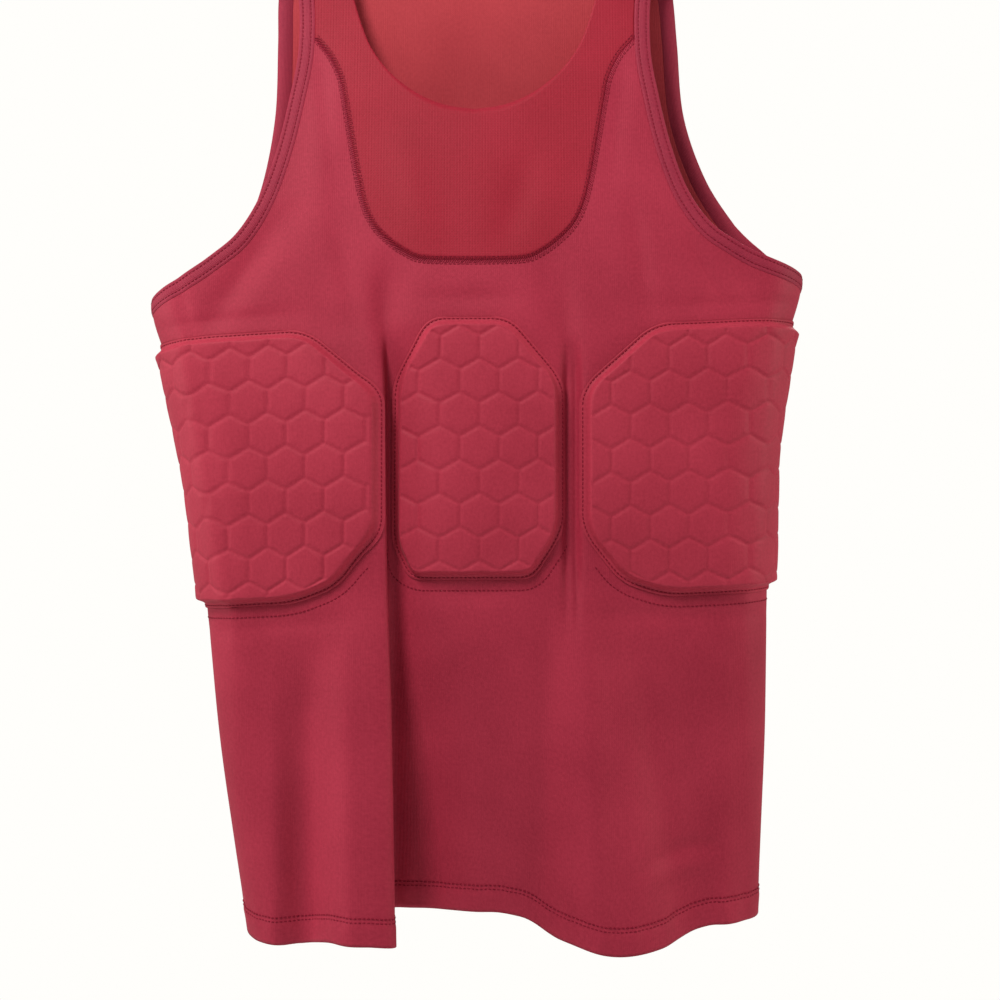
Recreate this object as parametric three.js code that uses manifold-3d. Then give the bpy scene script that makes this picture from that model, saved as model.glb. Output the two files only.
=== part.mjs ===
// A sleeveless padded compression shirt, hanging from a plain hanger.
// Millimetres, +Z up, +X to the viewer's right, the shirt's front facing -Y.
// The origin is the seat of the hanger's hook, where it bears on a rail.
//
// The cloth is one hollow surface. A point on it is named by its sheet (front or back), by how far
// across it lies, and by how far down it lies below the shoulder line. Every piece takes its points
// from that surface, moved in or out.
import * as THREE from "three";
import Module from "manifold-3d";

const wasm = await Module();
wasm.setup();

// Driving dimensions
const WALL = 1.2; // thickness of the knit
const GAP = 0.3; // clearance kept at seams
const SHOULDER_Z = -112; // height of the shoulder line at the middle of the straps
const CREST_RADIUS = 7; // radius of the cloth where it rolls over the hanger
const HEM_DOWN = 700; // shoulder line to hem
const HEM_DEPTH = 20; // height of the turned hem
const HEM_STEP = 0.8; // the turned hem stands this much proud
const HEM_STEP_RUN = 1.5; // over this height
const SPLIT_DOWN = 272; // below this the rows of the grid are level
const ARMPIT_DOWN = 250; // where the armhole meets the side seam
const YOKE_JOIN_DOWN = 73; // where the yoke's seam meets the armhole band
const BAND_WIDTH = 11; // armhole band
const BAND_PROUD = 0.8; // the band stands this much above the panels
const PAD_HEIGHT = 7;
const PAD_FLANGE = 1.5; // thickness of the stitched edge round a pad
const PAD_LIFT = 0.75; // clearance between a panel and its pads
const PAD_WRAP = 50; // how far a side pad reaches round the side seam
const CELL_HALF = 13.2; // hexagonal foam cells: half their width across the flats
const CELL_FLAT = 9.4; // half width of a cell's flat top
const CELL_GROOVE = 11; // half width at the bottom of its groove
const CELL_DEPTH = 1.2;

const ARM_SLOPE = 0.325; // fall of the hanger's arms per millimetre outwards
const ARM_LEVEL = 117; // where the arm's top crosses the shoulder line
const ARM_BLEND = 22; // rounding of the arms' peak
const ARM_RADIUS = 5.1; // half thickness of the arms
const ARM_HEIGHT = 24;
const ARM_TIP_HEIGHT = 15;
const ARM_REACH = 190; // half length of the hanger
const SOCKET_DEPTH = 12;
const SOCKET_PLAY = 0.25;
const HOOK_WIRE = 1.8; // radius of the hook's wire
const HOOK_INNER = 19; // radius of the rail that it takes

// The hanging shirt's outline: how far out each side lies and how deep each sheet hangs.
const SECTIONS = [
  { down: -60, left: -228, right: 233, front: 7, back: 7, bend: 42 },
  { down: 16, left: -228, right: 233, front: 7, back: 7, bend: 42 },
  { down: 130, left: -228, right: 233, front: 22, back: 17, bend: 42 },
  { down: 252, left: -230, right: 233, front: 38, back: 30, bend: 42 },
  { down: 300, left: -217, right: 221, front: 42, back: 33, bend: 42 },
  { down: 390, left: -199, right: 209, front: 44, back: 34, bend: 42 },
  { down: 475, left: -190, right: 208, front: 41, back: 33, bend: 40 },
  { down: 560, left: -182, right: 207, front: 37, back: 31, bend: 36 },
  { down: 640, left: -171, right: 204, front: 34, back: 30, bend: 32 },
  { down: 712, left: -160, right: 201, front: 32, back: 29, bend: 30 },
];

// Cut lines, as distance out from the centre line and distance down from the shoulder line.
const FRONT_ARMHOLE = [
  { out: 137, down: 3 },
  { out: 126, down: 38 },
  { out: 124.5, down: 82 },
  { out: 130, down: 119 },
  { out: 138, down: 155 },
  { out: 149, down: 187 },
  { out: 164, down: 211 },
  { out: 181, down: 225 },
  { out: 202, down: 238 },
  { out: 226, down: 246.5 },
  { out: 249, down: 250 },
];
const BACK_ARMHOLE = {
  "-1": [
    { out: 137, down: 3 },
    { out: 142, down: 38 },
    { out: 143, down: 72 },
    { out: 146, down: 122 },
    { out: 156, down: 168 },
    { out: 171, down: 202 },
    { out: 190, down: 225 },
    { out: 212, down: 240 },
    { out: 240, down: 250 },
  ],
  1: [
    { out: 137, down: 3 },
    { out: 143, down: 38 },
    { out: 146.5, down: 72 },
    { out: 152, down: 122 },
    { out: 168, down: 168 },
    { out: 189, down: 204 },
    { out: 202, down: 222 },
    { out: 217, down: 238 },
    { out: 240, down: 250 },
  ],
};
const YOKE_SEAM = [
  { out: 0, down: 236 },
  { out: 34, down: 235 },
  { out: 48, down: 229.5 },
  { out: 60, down: 220.5 },
  { out: 69.5, down: 210 },
  { out: 76, down: 196 },
  { out: 80.5, down: 178 },
  { out: 84.5, down: 157 },
  { out: 88, down: 137 },
  { out: 91.5, down: 117 },
  { out: 94.5, down: 103 },
  { out: 102, down: 87 },
];
const FRONT_NECK = [
  { out: 94, down: -10.6 },
  { out: 91, down: 18 },
  { out: 85.5, down: 46 },
  { out: 76, down: 75 },
  { out: 66, down: 92 },
  { out: 54, down: 105 },
  { out: 38, down: 116.5 },
  { out: 20, down: 124 },
  { out: 0, down: 127 },
];
const BACK_NECK = [
  { out: 94, down: -10.6 },
  { out: 86, down: 6 },
  { out: 70, down: 20 },
  { out: 40, down: 31 },
  { out: 0, down: 35 },
];
const NECK_MATCH = 0.465; // share of the neckline that lies above the yoke's join

// The deep fold left of the centre: the left lobe hangs over the middle of the front.
const MAIN_FOLD = {
  at: [[280, -62], [330, -61.5], [450, -60], [560, -58.5], [712, -56.5]],
  width: [[280, 8], [450, 8.5], [560, 11], [712, 12.5]],
  curl: [[278, 0], [330, 1.05], [450, 1.2], [545, 1.9], [712, 2]],
  lobe: [[280, 0], [330, 5], [450, 8], [560, 22], [712, 32]],
  valley: [[280, 0], [325, 8], [450, 9], [560, 9], [712, 11]],
};
// The narrow pinch between the middle pad and the right one.
const PINCH = { at: 67, spread: 3.6, reach: 3.3, depth: [[290, 0], [325, 3.6], [425, 3.6], [500, 0]] };

// Soft ridges (swell above 0) and troughs (below 0): where each runs, how wide, how strong.
const FRONT_WAVES = [
  { name: "belly", at: [[200, 0], [712, 20]], reach: 150, swell: [[60, 0], [260, 5], [480, 5], [712, 2]] },
  { name: "right lobe", at: [[470, 72], [712, 102]], reach: 48, swell: [[440, 0], [540, 9], [712, 25]] },
  { name: "right hollow", at: [[480, 150], [712, 160]], reach: 26, swell: [[480, 0], [600, -5], [712, -7]] },
  { name: "left ridge", at: [[480, -82], [712, -80]], reach: 16, swell: [[480, 0], [600, 3], [712, 5]] },
  { name: "left hollow", at: [[480, -112], [712, -118]], reach: 15, swell: [[480, 0], [580, -4], [712, -6]] },
  { name: "left side ridge", at: [[480, -150], [712, -140]], reach: 16, swell: [[500, 0], [600, 2], [712, 3]] },
  { name: "yoke corner fold", at: [[240, -58], [300, -60]], reach: 10, swell: [[225, 0], [262, -3], [340, 0]] },
  { name: "yoke right fold", at: [[240, 52], [300, 60]], reach: 11, swell: [[225, 0], [270, -2.5], [330, 0]] },
  { name: "left armpit fold", at: [[190, -130], [290, -190]], reach: 13, swell: [[190, 0], [240, -3.5], [290, 0]] },
  { name: "right armpit hollow", at: [[215, 180], [275, 196]], reach: 16, swell: [[215, 0], [256, -4], [290, 0]] },
  { name: "chest fold", at: [[120, -104], [240, -112]], reach: 14, swell: [[100, 0], [170, 2], [260, 0]] },
];
const BACK_WAVES = [
  { name: "back middle", at: [[60, 0], [712, 12]], reach: 120, swell: [[60, 0], [260, 4], [712, 6]] },
  { name: "back left hollow", at: [[430, -70], [712, -84]], reach: 24, swell: [[430, 0], [560, -7], [712, -12]] },
  { name: "back left ridge", at: [[430, -120], [712, -124]], reach: 22, swell: [[430, 0], [712, 6]] },
  { name: "back right hollow", at: [[400, 62], [712, 76]], reach: 26, swell: [[400, 0], [560, -7], [712, -11]] },
  { name: "back right ridge", at: [[420, 118], [712, 122]], reach: 24, swell: [[420, 0], [712, 7]] },
  { name: "blade fold left", at: [[110, -96], [300, -74]], reach: 18, swell: [[100, 0], [190, -3], [300, 0]] },
  { name: "blade fold right", at: [[110, 96], [300, 80]], reach: 18, swell: [[100, 0], [200, -3], [300, 0]] },
];
const SIDE_CALM = 34; // folds die away over this length before a side seam

// How the hem dips and lifts across each sheet, and how the two sides hang unevenly.
const FRONT_DIPS = [
  [-175, 0], [-148, 4], [-120, 5], [-92, -1], [-75, -1], [-60, 2], [-48, -13], [10, -14], [32, -11],
  [60, 3], [104, 12], [128, 10], [142, 6], [156, 2], [170, 0], [205, 0],
];
const BACK_DIPS = [[-170, 0], [-84, -6], [12, 1], [76, -6], [205, 0]];
const SIDE_SAG = { left: 10, right: -7, reach: 225, from: 110, to: 258 };

// Pad outlines on the unrolled cloth, with the length that each corner's rounding takes.
const SIDE_PAD = [
  { inset: 0, down: 324, round: 13 },
  { inset: 50, down: 281, round: 15 },
  { inset: PAD_WRAP, down: 281, round: 16, wraps: true },
  { inset: PAD_WRAP, down: 470, round: 16, wraps: true },
  { inset: 58, down: 470, round: 14 },
  { inset: 27, down: 459, round: 12 },
  { inset: 0, down: 424, round: 13 },
];
const SIDE_PAD_INNER = { left: -65, right: 73.5 };
const MIDDLE_PAD = [
  { across: -53.5, down: 316, round: 13 },
  { across: -32, down: 275, round: 13 },
  { across: 25, down: 275, round: 13 },
  { across: 61.5, down: 319, round: 13 },
  { across: 61.5, down: 424, round: 13 },
  { across: 41, down: 456, round: 10 },
  { across: -44, down: 456, round: 10 },
  { across: -53.5, down: 430, round: 10 },
];
// Steps of a pad's edge: how far in from the outline, and how high.
const PAD_STEPS = [
  { inset: 0, height: 0 },
  { inset: 0, height: PAD_FLANGE },
  { inset: 3.6, height: PAD_FLANGE + 0.1 },
  { inset: 7.2, height: PAD_HEIGHT + 0.4 },
];
const PAD_SPLIT_HEIGHT = PAD_FLANGE + 0.2; // edges below this are split to follow the cloth

// Rows fan out from the split row to the top edge at these shares of the way down; below it they are level.
const FRONT_FAN = [0, 0.14, 0.28, 0.42, 0.58, 0.78, 1];
const BACK_FAN = [0, 0.016, 0.032, 0.05, 0.2, 0.45, 0.72, 1];
const ROWS = [272, 290, 312, 340, 375, 412, 450, 482, 520, 562, 606, 650];
const HEM_ROWS = [
  { down: HEM_DOWN - HEM_DEPTH - HEM_STEP_RUN, proud: 0 },
  { down: HEM_DOWN - HEM_DEPTH, proud: HEM_STEP },
  { down: HEM_DOWN, proud: HEM_STEP },
];
// How many columns lie between the stops of half a panel, from the centre line outwards.
const COLUMN_COUNTS = { back: [4, 3, 2, 3, 6], frontLeft: [3, 8, 4, 11], frontRight: [4, 6, 4, 11] };
const ROLL_LENGTH = 12; // how far the roll over the hanger runs down from the shoulder seam
const YOKE_ROWS = 3;
const STRAP_STATIONS = [0, 0.05, 0.1, 0.16, 0.3, 0.5, 0.75];
const MITRE_LIMIT = 0.76;
const CORNER_STEPS = 3;
const MIDDLE_PAD_LINES = [-51.5, -49, -45, -39, -30, -18, -4, 12, 26, 40, 48, 53, 57];
const PAD_LINES = { from: 96, bend: 170, to: 310, wide: 14, close: 10.5 };
const PAD_ROWS = [290, 312, 340, 375, 412, 450];
const SPLIT_MARGIN = 0.2;
const MIN_AREA = 1e-4;
const WIRE_SIDES = 8;
const HOOK_STATIONS = 20;
const HOOK_ANGLES = [-38, 0, 45, 90, 135, 180, 205];
const ARM_TURNS = 6;
const ARM_CHAMFER = 3;
const ARM_STATIONS = [-190, -187, -180, -137, -94, -50, -30, -15, 0, 15, 30, 50, 94, 137, 180, 187, 190].map((x) => ({
  x,
  size: Math.abs(x) < 181 ? 1 : Math.abs(x) < 188 ? 0.85 : 0.55,
}));

const FRONT = -1;
const BACK = 1;

// Smooth interpolation through the rows of a table, without overshoot.
function monotone(xs, ys, x) {
  const last = xs.length - 1;
  if (x <= xs[0]) return ys[0];
  if (x >= xs[last]) return ys[last];
  let i = 0;
  while (x > xs[i + 1]) i += 1;
  const slope = (k) => (ys[k + 1] - ys[k]) / (xs[k + 1] - xs[k]);
  const tangent = (k) => {
    if (k === 0) return slope(0);
    if (k === last) return slope(last - 1);
    const before = slope(k - 1);
    const after = slope(k);
    return before * after <= 0 ? 0 : (2 * before * after) / (before + after);
  };
  const h = xs[i + 1] - xs[i];
  const t = (x - xs[i]) / h;
  const rise = t * t * (3 - 2 * t) * (ys[i + 1] - ys[i]);
  return ys[i] + rise + h * t * (1 - t) * ((1 - t) * tangent(i) - t * tangent(i + 1));
}
const along = (table, x) => monotone(table.map((p) => p[0]), table.map((p) => p[1]), x);
const column = (table, key) => table.map((row) => row[key]);
const DOWNS = column(SECTIONS, "down");
const OUTLINE = ["left", "right", "front", "back", "bend"].map((key) => [key, column(SECTIONS, key)]);
const sectionAt = (down) => Object.fromEntries(OUTLINE.map(([key, ys]) => [key, monotone(DOWNS, ys, down)]));
const bump = (distance, reach) => Math.exp(-((distance / reach) ** 2));
const blend = (from, to, x) => {
  const t = Math.min(1, Math.max(0, (x - from) / (to - from)));
  return t * t * (3 - 2 * t);
};
const mix = (a, b, t) => a + (b - a) * t;

// Where the side seam lies, measured across a sheet.
function sideSeam(sheet, side, down) {
  const c = sectionAt(down);
  const depth = sheet === FRONT ? c.front : c.back;
  const quarter = (Math.PI / 4) * (c.bend + depth);
  return side < 0 ? c.left + c.bend - quarter : c.right - c.bend + quarter;
}

// The plain oval that the shirt hangs in, and its outward direction.
function oval(sheet, across, down) {
  const c = sectionAt(down);
  const depth = sheet === FRONT ? c.front : c.back;
  const run = (c.bend + depth) / 2;
  const sign = across < 0 ? -1 : 1;
  const start = across < 0 ? c.left + c.bend : c.right - c.bend;
  const beyond = sign * (across - start);
  const calm = blend(0, SIDE_CALM, Math.abs((Math.PI / 2) * run - beyond));
  if (beyond <= 0) return { x: across, y: sheet * depth, nx: 0, ny: sheet, calm };
  const turn = beyond / run;
  const nx = (sign * Math.sin(turn)) / c.bend;
  const ny = (sheet * Math.cos(turn)) / depth;
  const length = Math.hypot(nx, ny);
  const x = start + sign * c.bend * Math.sin(turn);
  return { x, y: sheet * depth * Math.cos(turn), nx: nx / length, ny: ny / length, calm };
}

// How far the top of the hanger lies below the shoulder line.
const crestDown = (x) => ARM_SLOPE * (Math.hypot(x, ARM_BLEND) - ARM_LEVEL);
// Where the shoulder seam lies: on top of the roll of cloth over the hanger.
const shoulderSeam = (x) => crestDown(x) + CREST_RADIUS * (1 - Math.PI / 2);

// How far the folds move a point of the front outwards, and sideways where the main fold curls.
function frontFolds(across, down) {
  const at = along(MAIN_FOLD.at, down);
  const width = along(MAIN_FOLD.width, down);
  const t = (across - at) / width;
  const over = 0.5 - 0.5 * Math.tanh(2.2 * t);
  const lobe = along(MAIN_FOLD.lobe, down) * over * blend(at - 95, at - 8, across);
  const valley = -along(MAIN_FOLD.valley, down) * (1 - over) * bump(Math.max(0, t - 0.8), 2.6);
  const curl = -along(MAIN_FOLD.curl, down) * width * t * Math.exp(-t * t);
  const lines = bump(across - PINCH.at + PINCH.spread, PINCH.reach) + bump(across - PINCH.at - PINCH.spread, PINCH.reach);
  return { out: lobe + valley - along(PINCH.depth, down) * lines, sideways: curl };
}
const swellOf = (list, across, down) =>
  list.reduce((sum, w) => sum + along(w.swell, down) * bump(across - along(w.at, down), w.reach), 0);

// A point of the cloth's middle surface.
function cloth(sheet, across, down) {
  const rolled = crestDown(across) + CREST_RADIUS - down;
  if (rolled > 0) {
    const turn = rolled / CREST_RADIUS;
    const z = SHOULDER_Z - crestDown(across) - CREST_RADIUS * (1 - Math.sin(turn));
    return new THREE.Vector3(across, sheet * CREST_RADIUS * Math.cos(turn), z);
  }
  const p = oval(sheet, across, down);
  const front = sheet === FRONT;
  const folds = front ? frontFolds(across, down) : { out: 0, sideways: 0 };
  const out = p.calm * (folds.out + swellOf(front ? FRONT_WAVES : BACK_WAVES, across, down));
  const side = p.x < 0 ? SIDE_SAG.left : SIDE_SAG.right;
  const sag = side * (p.x / SIDE_SAG.reach) ** 2 * blend(SIDE_SAG.from, SIDE_SAG.to, down);
  const dip = along(front ? FRONT_DIPS : BACK_DIPS, across) * blend(480, HEM_DOWN, down);
  return new THREE.Vector3(p.x + out * p.nx + folds.sideways, p.y + out * p.ny, SHOULDER_Z - down - sag - dip);
}

// The same point moved outwards, square to the cloth.
function clothOffset(sheet, across, down, distance) {
  const step = 0.4;
  const rightwards = cloth(sheet, across + step, down).sub(cloth(sheet, across - step, down));
  const downwards = cloth(sheet, across, down + step).sub(cloth(sheet, across, down - step));
  const outward = downwards.cross(rightwards).multiplyScalar(-sheet).normalize();
  return cloth(sheet, across, down).addScaledVector(outward, distance);
}

// Cut lines

// Points along a cut line, each with the direction square to it, into the cloth below or inside.
function traced(points, samples) {
  const curve = new THREE.SplineCurve(points.map((p) => new THREE.Vector2(p.out, p.down)));
  return curve.getSpacedPoints(samples).map((p) => ({ out: p.x, down: p.y }));
}
function withInward(line) {
  return line.map((p, i) => {
    const before = line[Math.max(0, i - 1)];
    const after = line[Math.min(line.length - 1, i + 1)];
    const arriving = new THREE.Vector2(p.out - before.out, p.down - before.down).normalize();
    const leaving = new THREE.Vector2(after.out - p.out, after.down - p.down).normalize();
    const ahead = arriving.add(leaving);
    const mitre = 2 / Math.max(MITRE_LIMIT, ahead.length() * (i > 0 && i < line.length - 1 ? 1 : 2));
    ahead.normalize().multiplyScalar(mitre);
    return { ...p, inOut: -ahead.y, inDown: ahead.x };
  });
}
const LINE_SAMPLES = 160;
// The armhole's edge runs from the shoulder seam to the side seam; the band's inner line lies inside it.
function armholeLines(sheet, side) {
  const table = sheet === FRONT ? FRONT_ARMHOLE : BACK_ARMHOLE[side];
  const end = Math.abs(sideSeam(sheet, side, ARMPIT_DOWN));
  const stretch = end - table[table.length - 1].out;
  const fitted = table.map((p) => ({ out: p.out + stretch * blend(150, end, p.out), down: p.down }));
  const edge = withInward(traced(fitted, LINE_SAMPLES));
  const inner = edge.map((p) => ({ out: p.out + BAND_WIDTH * p.inOut, down: p.down + BAND_WIDTH * p.inDown }));
  const ends = [[edge, 0], [inner, BAND_WIDTH]];
  for (const [line, inset] of ends) {
    const out = table[0].out - inset;
    const down = ARMPIT_DOWN + inset;
    line[0] = { ...line[0], out, down: shoulderSeam(out) };
    line[line.length - 1] = { ...line[line.length - 1], out: Math.abs(sideSeam(sheet, side, down)), down };
  }
  return { edge, inner: withInward(inner) };
}
const ARMHOLES = new Map();
for (const sheet of [FRONT, BACK]) for (const side of [-1, 1]) ARMHOLES.set(`${sheet},${side}`, armholeLines(sheet, side));
const armhole = (sheet, side) => ARMHOLES.get(`${sheet},${side}`);

// Points of a line are shared out by how far they run across, and a little by how far they run down.
const SPREAD_DOWN = 0.4;
function shareOut(line) {
  const shares = [0];
  for (let i = 1; i < line.length; i += 1) {
    const run = Math.abs(line[i].out - line[i - 1].out) + SPREAD_DOWN * Math.abs(line[i].down - line[i - 1].down);
    shares.push(shares[i - 1] + run);
  }
  return shares;
}
function pick(line, shares, share) {
  let i = 0;
  while (i < line.length - 2 && shares[i + 1] < share) i += 1;
  const t = Math.min(1, Math.max(0, (share - shares[i]) / (shares[i + 1] - shares[i])));
  const key = (name) => mix(line[i][name], line[i + 1][name], t);
  return { out: key("out"), down: key("down"), inOut: key("inOut"), inDown: key("inDown"), place: i + t };
}

// Index on the armhole's inner line where the yoke's seam meets it.
const joinIndex = (side) => armhole(FRONT, side).inner.findIndex((p) => p.down >= YOKE_JOIN_DOWN);
function yokeSeam(side) {
  const join = armhole(FRONT, side).inner[joinIndex(side)];
  return traced([...YOKE_SEAM, { out: join.out, down: join.down }], LINE_SAMPLES);
}
// The top edge of half a panel, from the centre line to the side seam, with the places of its corners.
function topEdge(sheet, side) {
  const inner = armhole(sheet, side).inner;
  if (sheet === FRONT) {
    const seam = yokeSeam(side);
    const rest = inner.slice(joinIndex(side) + 1);
    return { line: withInward([...seam, ...rest]), corners: [seam.length - 1], armFrom: seam.length - 1 };
  }
  const neck = traced(BACK_NECK, LINE_SAMPLES).reverse();
  const crest = [0.25, 0.5, 0.75].map((t) => mix(neck[neck.length - 1].out, inner[0].out, t));
  const ridge = crest.map((out) => ({ out, down: shoulderSeam(out) }));
  const line = withInward([...neck, ...ridge, ...inner]);
  const outer = neck.length + ridge.length;
  const overRoll = (p) => p.down > shoulderSeam(p.out) + ROLL_LENGTH;
  const neckRoll = neck.findLastIndex(overRoll);
  const armRoll = outer + inner.findIndex(overRoll);
  return { line, corners: [neckRoll, neck.length - 1, outer, armRoll], armFrom: outer };
}

// Grids

function geometryOf(positions, triangles) {
  const geometry = new THREE.BufferGeometry();
  geometry.setAttribute("position", new THREE.Float32BufferAttribute(positions.flatMap((p) => [p.x, p.y, p.z]), 3));
  geometry.setIndex(triangles.flat());
  return geometry;
}
// A closed wall between an outer and an inner skin that share one net of triangles.
function wall(outer, inner, triangles) {
  const n = outer.length;
  const edges = new Map();
  for (const [a, b, c] of triangles) {
    for (const [p, q] of [[a, b], [b, c], [c, a]]) {
      if (!edges.delete(`${q},${p}`)) edges.set(`${p},${q}`, [p, q]);
    }
  }
  const faces = [...triangles, ...triangles.map(([a, b, c]) => [c + n, b + n, a + n])];
  for (const [p, q] of edges.values()) faces.push([q, p, p + n], [q, p + n, q + n]);
  return geometryOf([...outer, ...inner], faces);
}
// Triangles of a grid of columns, facing outwards on the front when columns run to the right.
function netOf(columns, sheet) {
  const rows = columns[0].length;
  const triangles = [];
  for (let i = 0; i < columns.length - 1; i += 1) {
    for (let j = 0; j < rows - 1; j += 1) {
      const a = i * rows + j;
      const b = a + rows;
      triangles.push([a, a + 1, b + 1], [a, b + 1, b]);
    }
  }
  return sheet === FRONT ? triangles : triangles.map(([a, b, c]) => [a, c, b]);
}
function sheetWall(sheet, columns) {
  const outer = [];
  const inner = [];
  for (const p of columns.flat()) {
    outer.push(clothOffset(sheet, p.across, p.down, WALL / 2 + (p.proud ?? 0)));
    inner.push(clothOffset(sheet, p.across, p.down, -WALL / 2));
  }
  return wall(outer, inner, netOf(columns, sheet));
}
const evenly = (from, to, count) => Array.from({ length: count }, (_, i) => mix(from, to, i / count));

const foldStop = (down, side) => along(MAIN_FOLD.at, down) + side * 1.7 * along(MAIN_FOLD.width, down);
const pinchStop = (down, side) => mix(PINCH.at, 78, blend(500, HEM_DOWN, down)) + side * mix(9, 14, blend(480, HEM_DOWN, down));

// The columns of half a panel, from the centre line to the side seam.
function halfPanel(sheet, side) {
  const top = topEdge(sheet, side);
  const shares = shareOut(top.line);
  const total = shares[shares.length - 1];
  const seamAt = (down) => Math.abs(sideSeam(sheet, side, down)) - GAP / 2;
  const cornerAt = (down) => top.corners.map((i) => (shares[i] / total) * seamAt(down));
  const stopsAt = (down) => {
    if (sheet === BACK) return [0, ...cornerAt(down), seamAt(down)];
    const folds = side < 0
      ? [-foldStop(down, 1), -foldStop(down, -1)]
      : [pinchStop(down, -1), pinchStop(down, 1)];
    return [0, ...folds, ...cornerAt(down), seamAt(down)];
  };
  const counts = COLUMN_COUNTS[sheet === BACK ? "back" : side < 0 ? "frontLeft" : "frontRight"];
  const positionsAt = (down) => {
    const at = stopsAt(down);
    return [...counts.flatMap((n, k) => evenly(at[k], at[k + 1], n)), at[at.length - 1]];
  };
  const fan = sheet === FRONT ? FRONT_FAN : BACK_FAN;
  const split = positionsAt(SPLIT_DOWN);
  return split.map((bottom, i) => {
    const seat = pick(top.line, shares, (bottom / seamAt(SPLIT_DOWN)) * total);
    const atSeam = i === split.length - 1;
    const topOut = seat.out + (GAP / 2) * (atSeam ? -1 : seat.inOut);
    const topDown = seat.down + (GAP / 2) * seat.inDown;
    const points = fan.slice(0, -1).map((t) => ({
      across: side * mix(topOut, bottom, t),
      down: mix(topDown, SPLIT_DOWN, t),
    }));
    for (const down of ROWS) points.push({ across: side * positionsAt(down)[i], down });
    for (const row of HEM_ROWS) points.push({ ...row, across: side * positionsAt(row.down)[i] });
    return { points, seat, armPlace: seat.place - top.armFrom };
  });
}
function panel(sheet) {
  const left = halfPanel(sheet, -1);
  const right = halfPanel(sheet, 1);
  const columns = [...left.slice(1).reverse(), ...right].map((c) => c.points);
  return { geometry: sheetWall(sheet, columns), halves: { "-1": left, 1: right } };
}
const frontPanel = panel(FRONT);
const backPanel = panel(BACK);

// The yoke: from each shoulder seam down the strap, and round between the neckline and its seam.
function yokeStations(side) {
  const inner = armhole(FRONT, side).inner;
  const places = inner.map((_, i) => i);
  const join = joinIndex(side);
  const strap = STRAP_STATIONS.map((t) => {
    const p = pick(inner, places, t * join);
    return { edge: { out: p.out + (GAP / 2) * p.inOut, down: p.down }, match: t * NECK_MATCH, armPlace: p.place };
  });
  strap[0].edge.down += GAP / 2;
  const seats = frontPanel.halves[side].filter((c) => c.armPlace < 0.5).map((c) => c.seat).reverse();
  const round = seats.map((seat, i) => ({
    edge: { out: seat.out - (GAP / 2) * seat.inOut, down: seat.down - (GAP / 2) * seat.inDown },
    match: mix(NECK_MATCH, 1, i / (seats.length - 1)),
  }));
  const neck = traced(FRONT_NECK, LINE_SAMPLES);
  neck[0].down = shoulderSeam(neck[0].out) + GAP / 2;
  const neckPlaces = neck.map((_, i) => i);
  return [...strap, ...round].map((station) => {
    const p = pick(withInward(neck), neckPlaces, station.match * LINE_SAMPLES);
    const points = Array.from({ length: YOKE_ROWS + 1 }, (_, k) => ({
      across: side * mix(p.out, station.edge.out, k / YOKE_ROWS),
      down: mix(p.down, station.edge.down, k / YOKE_ROWS),
    }));
    return { points, armPlace: station.armPlace };
  });
}
const yokeHalves = { "-1": yokeStations(-1), 1: yokeStations(1) };
const yokeColumns = [...yokeHalves[-1], ...yokeHalves[1].slice(0, -1).reverse()].map((s) => s.points);

// An armhole band: a closed ring from the side seam up the front, over the strap and down the back.
function bandRing(side) {
  const frontPlaces = frontPanel.halves[side].map((c) => c.armPlace).filter((place) => place > 0.5);
  const join = joinIndex(side);
  const strapPlaces = yokeHalves[side].map((s) => s.armPlace).filter((place) => place !== undefined);
  const frontStations = [...frontPlaces.map((place) => join + place).reverse(), join, ...strapPlaces.slice(1).reverse()];
  const backStations = backPanel.halves[side].map((c) => c.armPlace).filter((place) => place > -0.5);
  const stationOn = (sheet) => (place) => {
    const { edge, inner } = armhole(sheet, side);
    const places = inner.map((_, i) => i);
    const near = pick(inner, places, Math.max(0, place));
    const far = pick(withInward(edge), places, Math.max(0, place));
    return [
      { sheet, across: side * (near.out - (GAP / 2) * near.inOut), down: near.down - (GAP / 2) * near.inDown },
      { sheet, across: side * far.out, down: far.down },
    ];
  };
  const ring = [...frontStations.map(stationOn(FRONT)), ...backStations.map(stationOn(BACK)).slice(0, -1)];
  return ring.map(([near, far]) => {
    const place = (p, distance) => clothOffset(p.sheet, p.across, p.down, distance);
    const out = WALL / 2 + BAND_PROUD;
    return [place(near, out), place(far, out), place(far, -WALL / 2), place(near, -WALL / 2)];
  });
}

// A tube of sections, closed in a ring or capped at both ends.
function tube(sections, ring) {
  const n = sections[0].length;
  const count = sections.length;
  const triangles = [];
  for (let i = 0; i < (ring ? count : count - 1); i += 1) {
    for (let k = 0; k < n; k += 1) {
      const a = i * n + k;
      const b = i * n + ((k + 1) % n);
      const c = ((i + 1) % count) * n + k;
      const d = ((i + 1) % count) * n + ((k + 1) % n);
      triangles.push([a, c, d], [a, d, b]);
    }
  }
  if (!ring) {
    for (let k = 1; k < n - 1; k += 1) {
      triangles.push([0, k, k + 1], [(count - 1) * n, (count - 1) * n + k + 1, (count - 1) * n + k]);
    }
  }
  const geometry = geometryOf(sections.flat(), triangles);
  return volumeOf(geometry) > 0 ? geometry : geometryOf(sections.flat(), triangles.map(([a, b, c]) => [a, c, b]));
}
function volumeOf(geometry) {
  const at = (i) => new THREE.Vector3().fromBufferAttribute(geometry.attributes.position, geometry.index.getX(i));
  let six = 0;
  for (let i = 0; i < geometry.index.count; i += 3) six += at(i).dot(at(i + 1).cross(at(i + 2)));
  return six / 6;
}

// Joining and cutting

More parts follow.
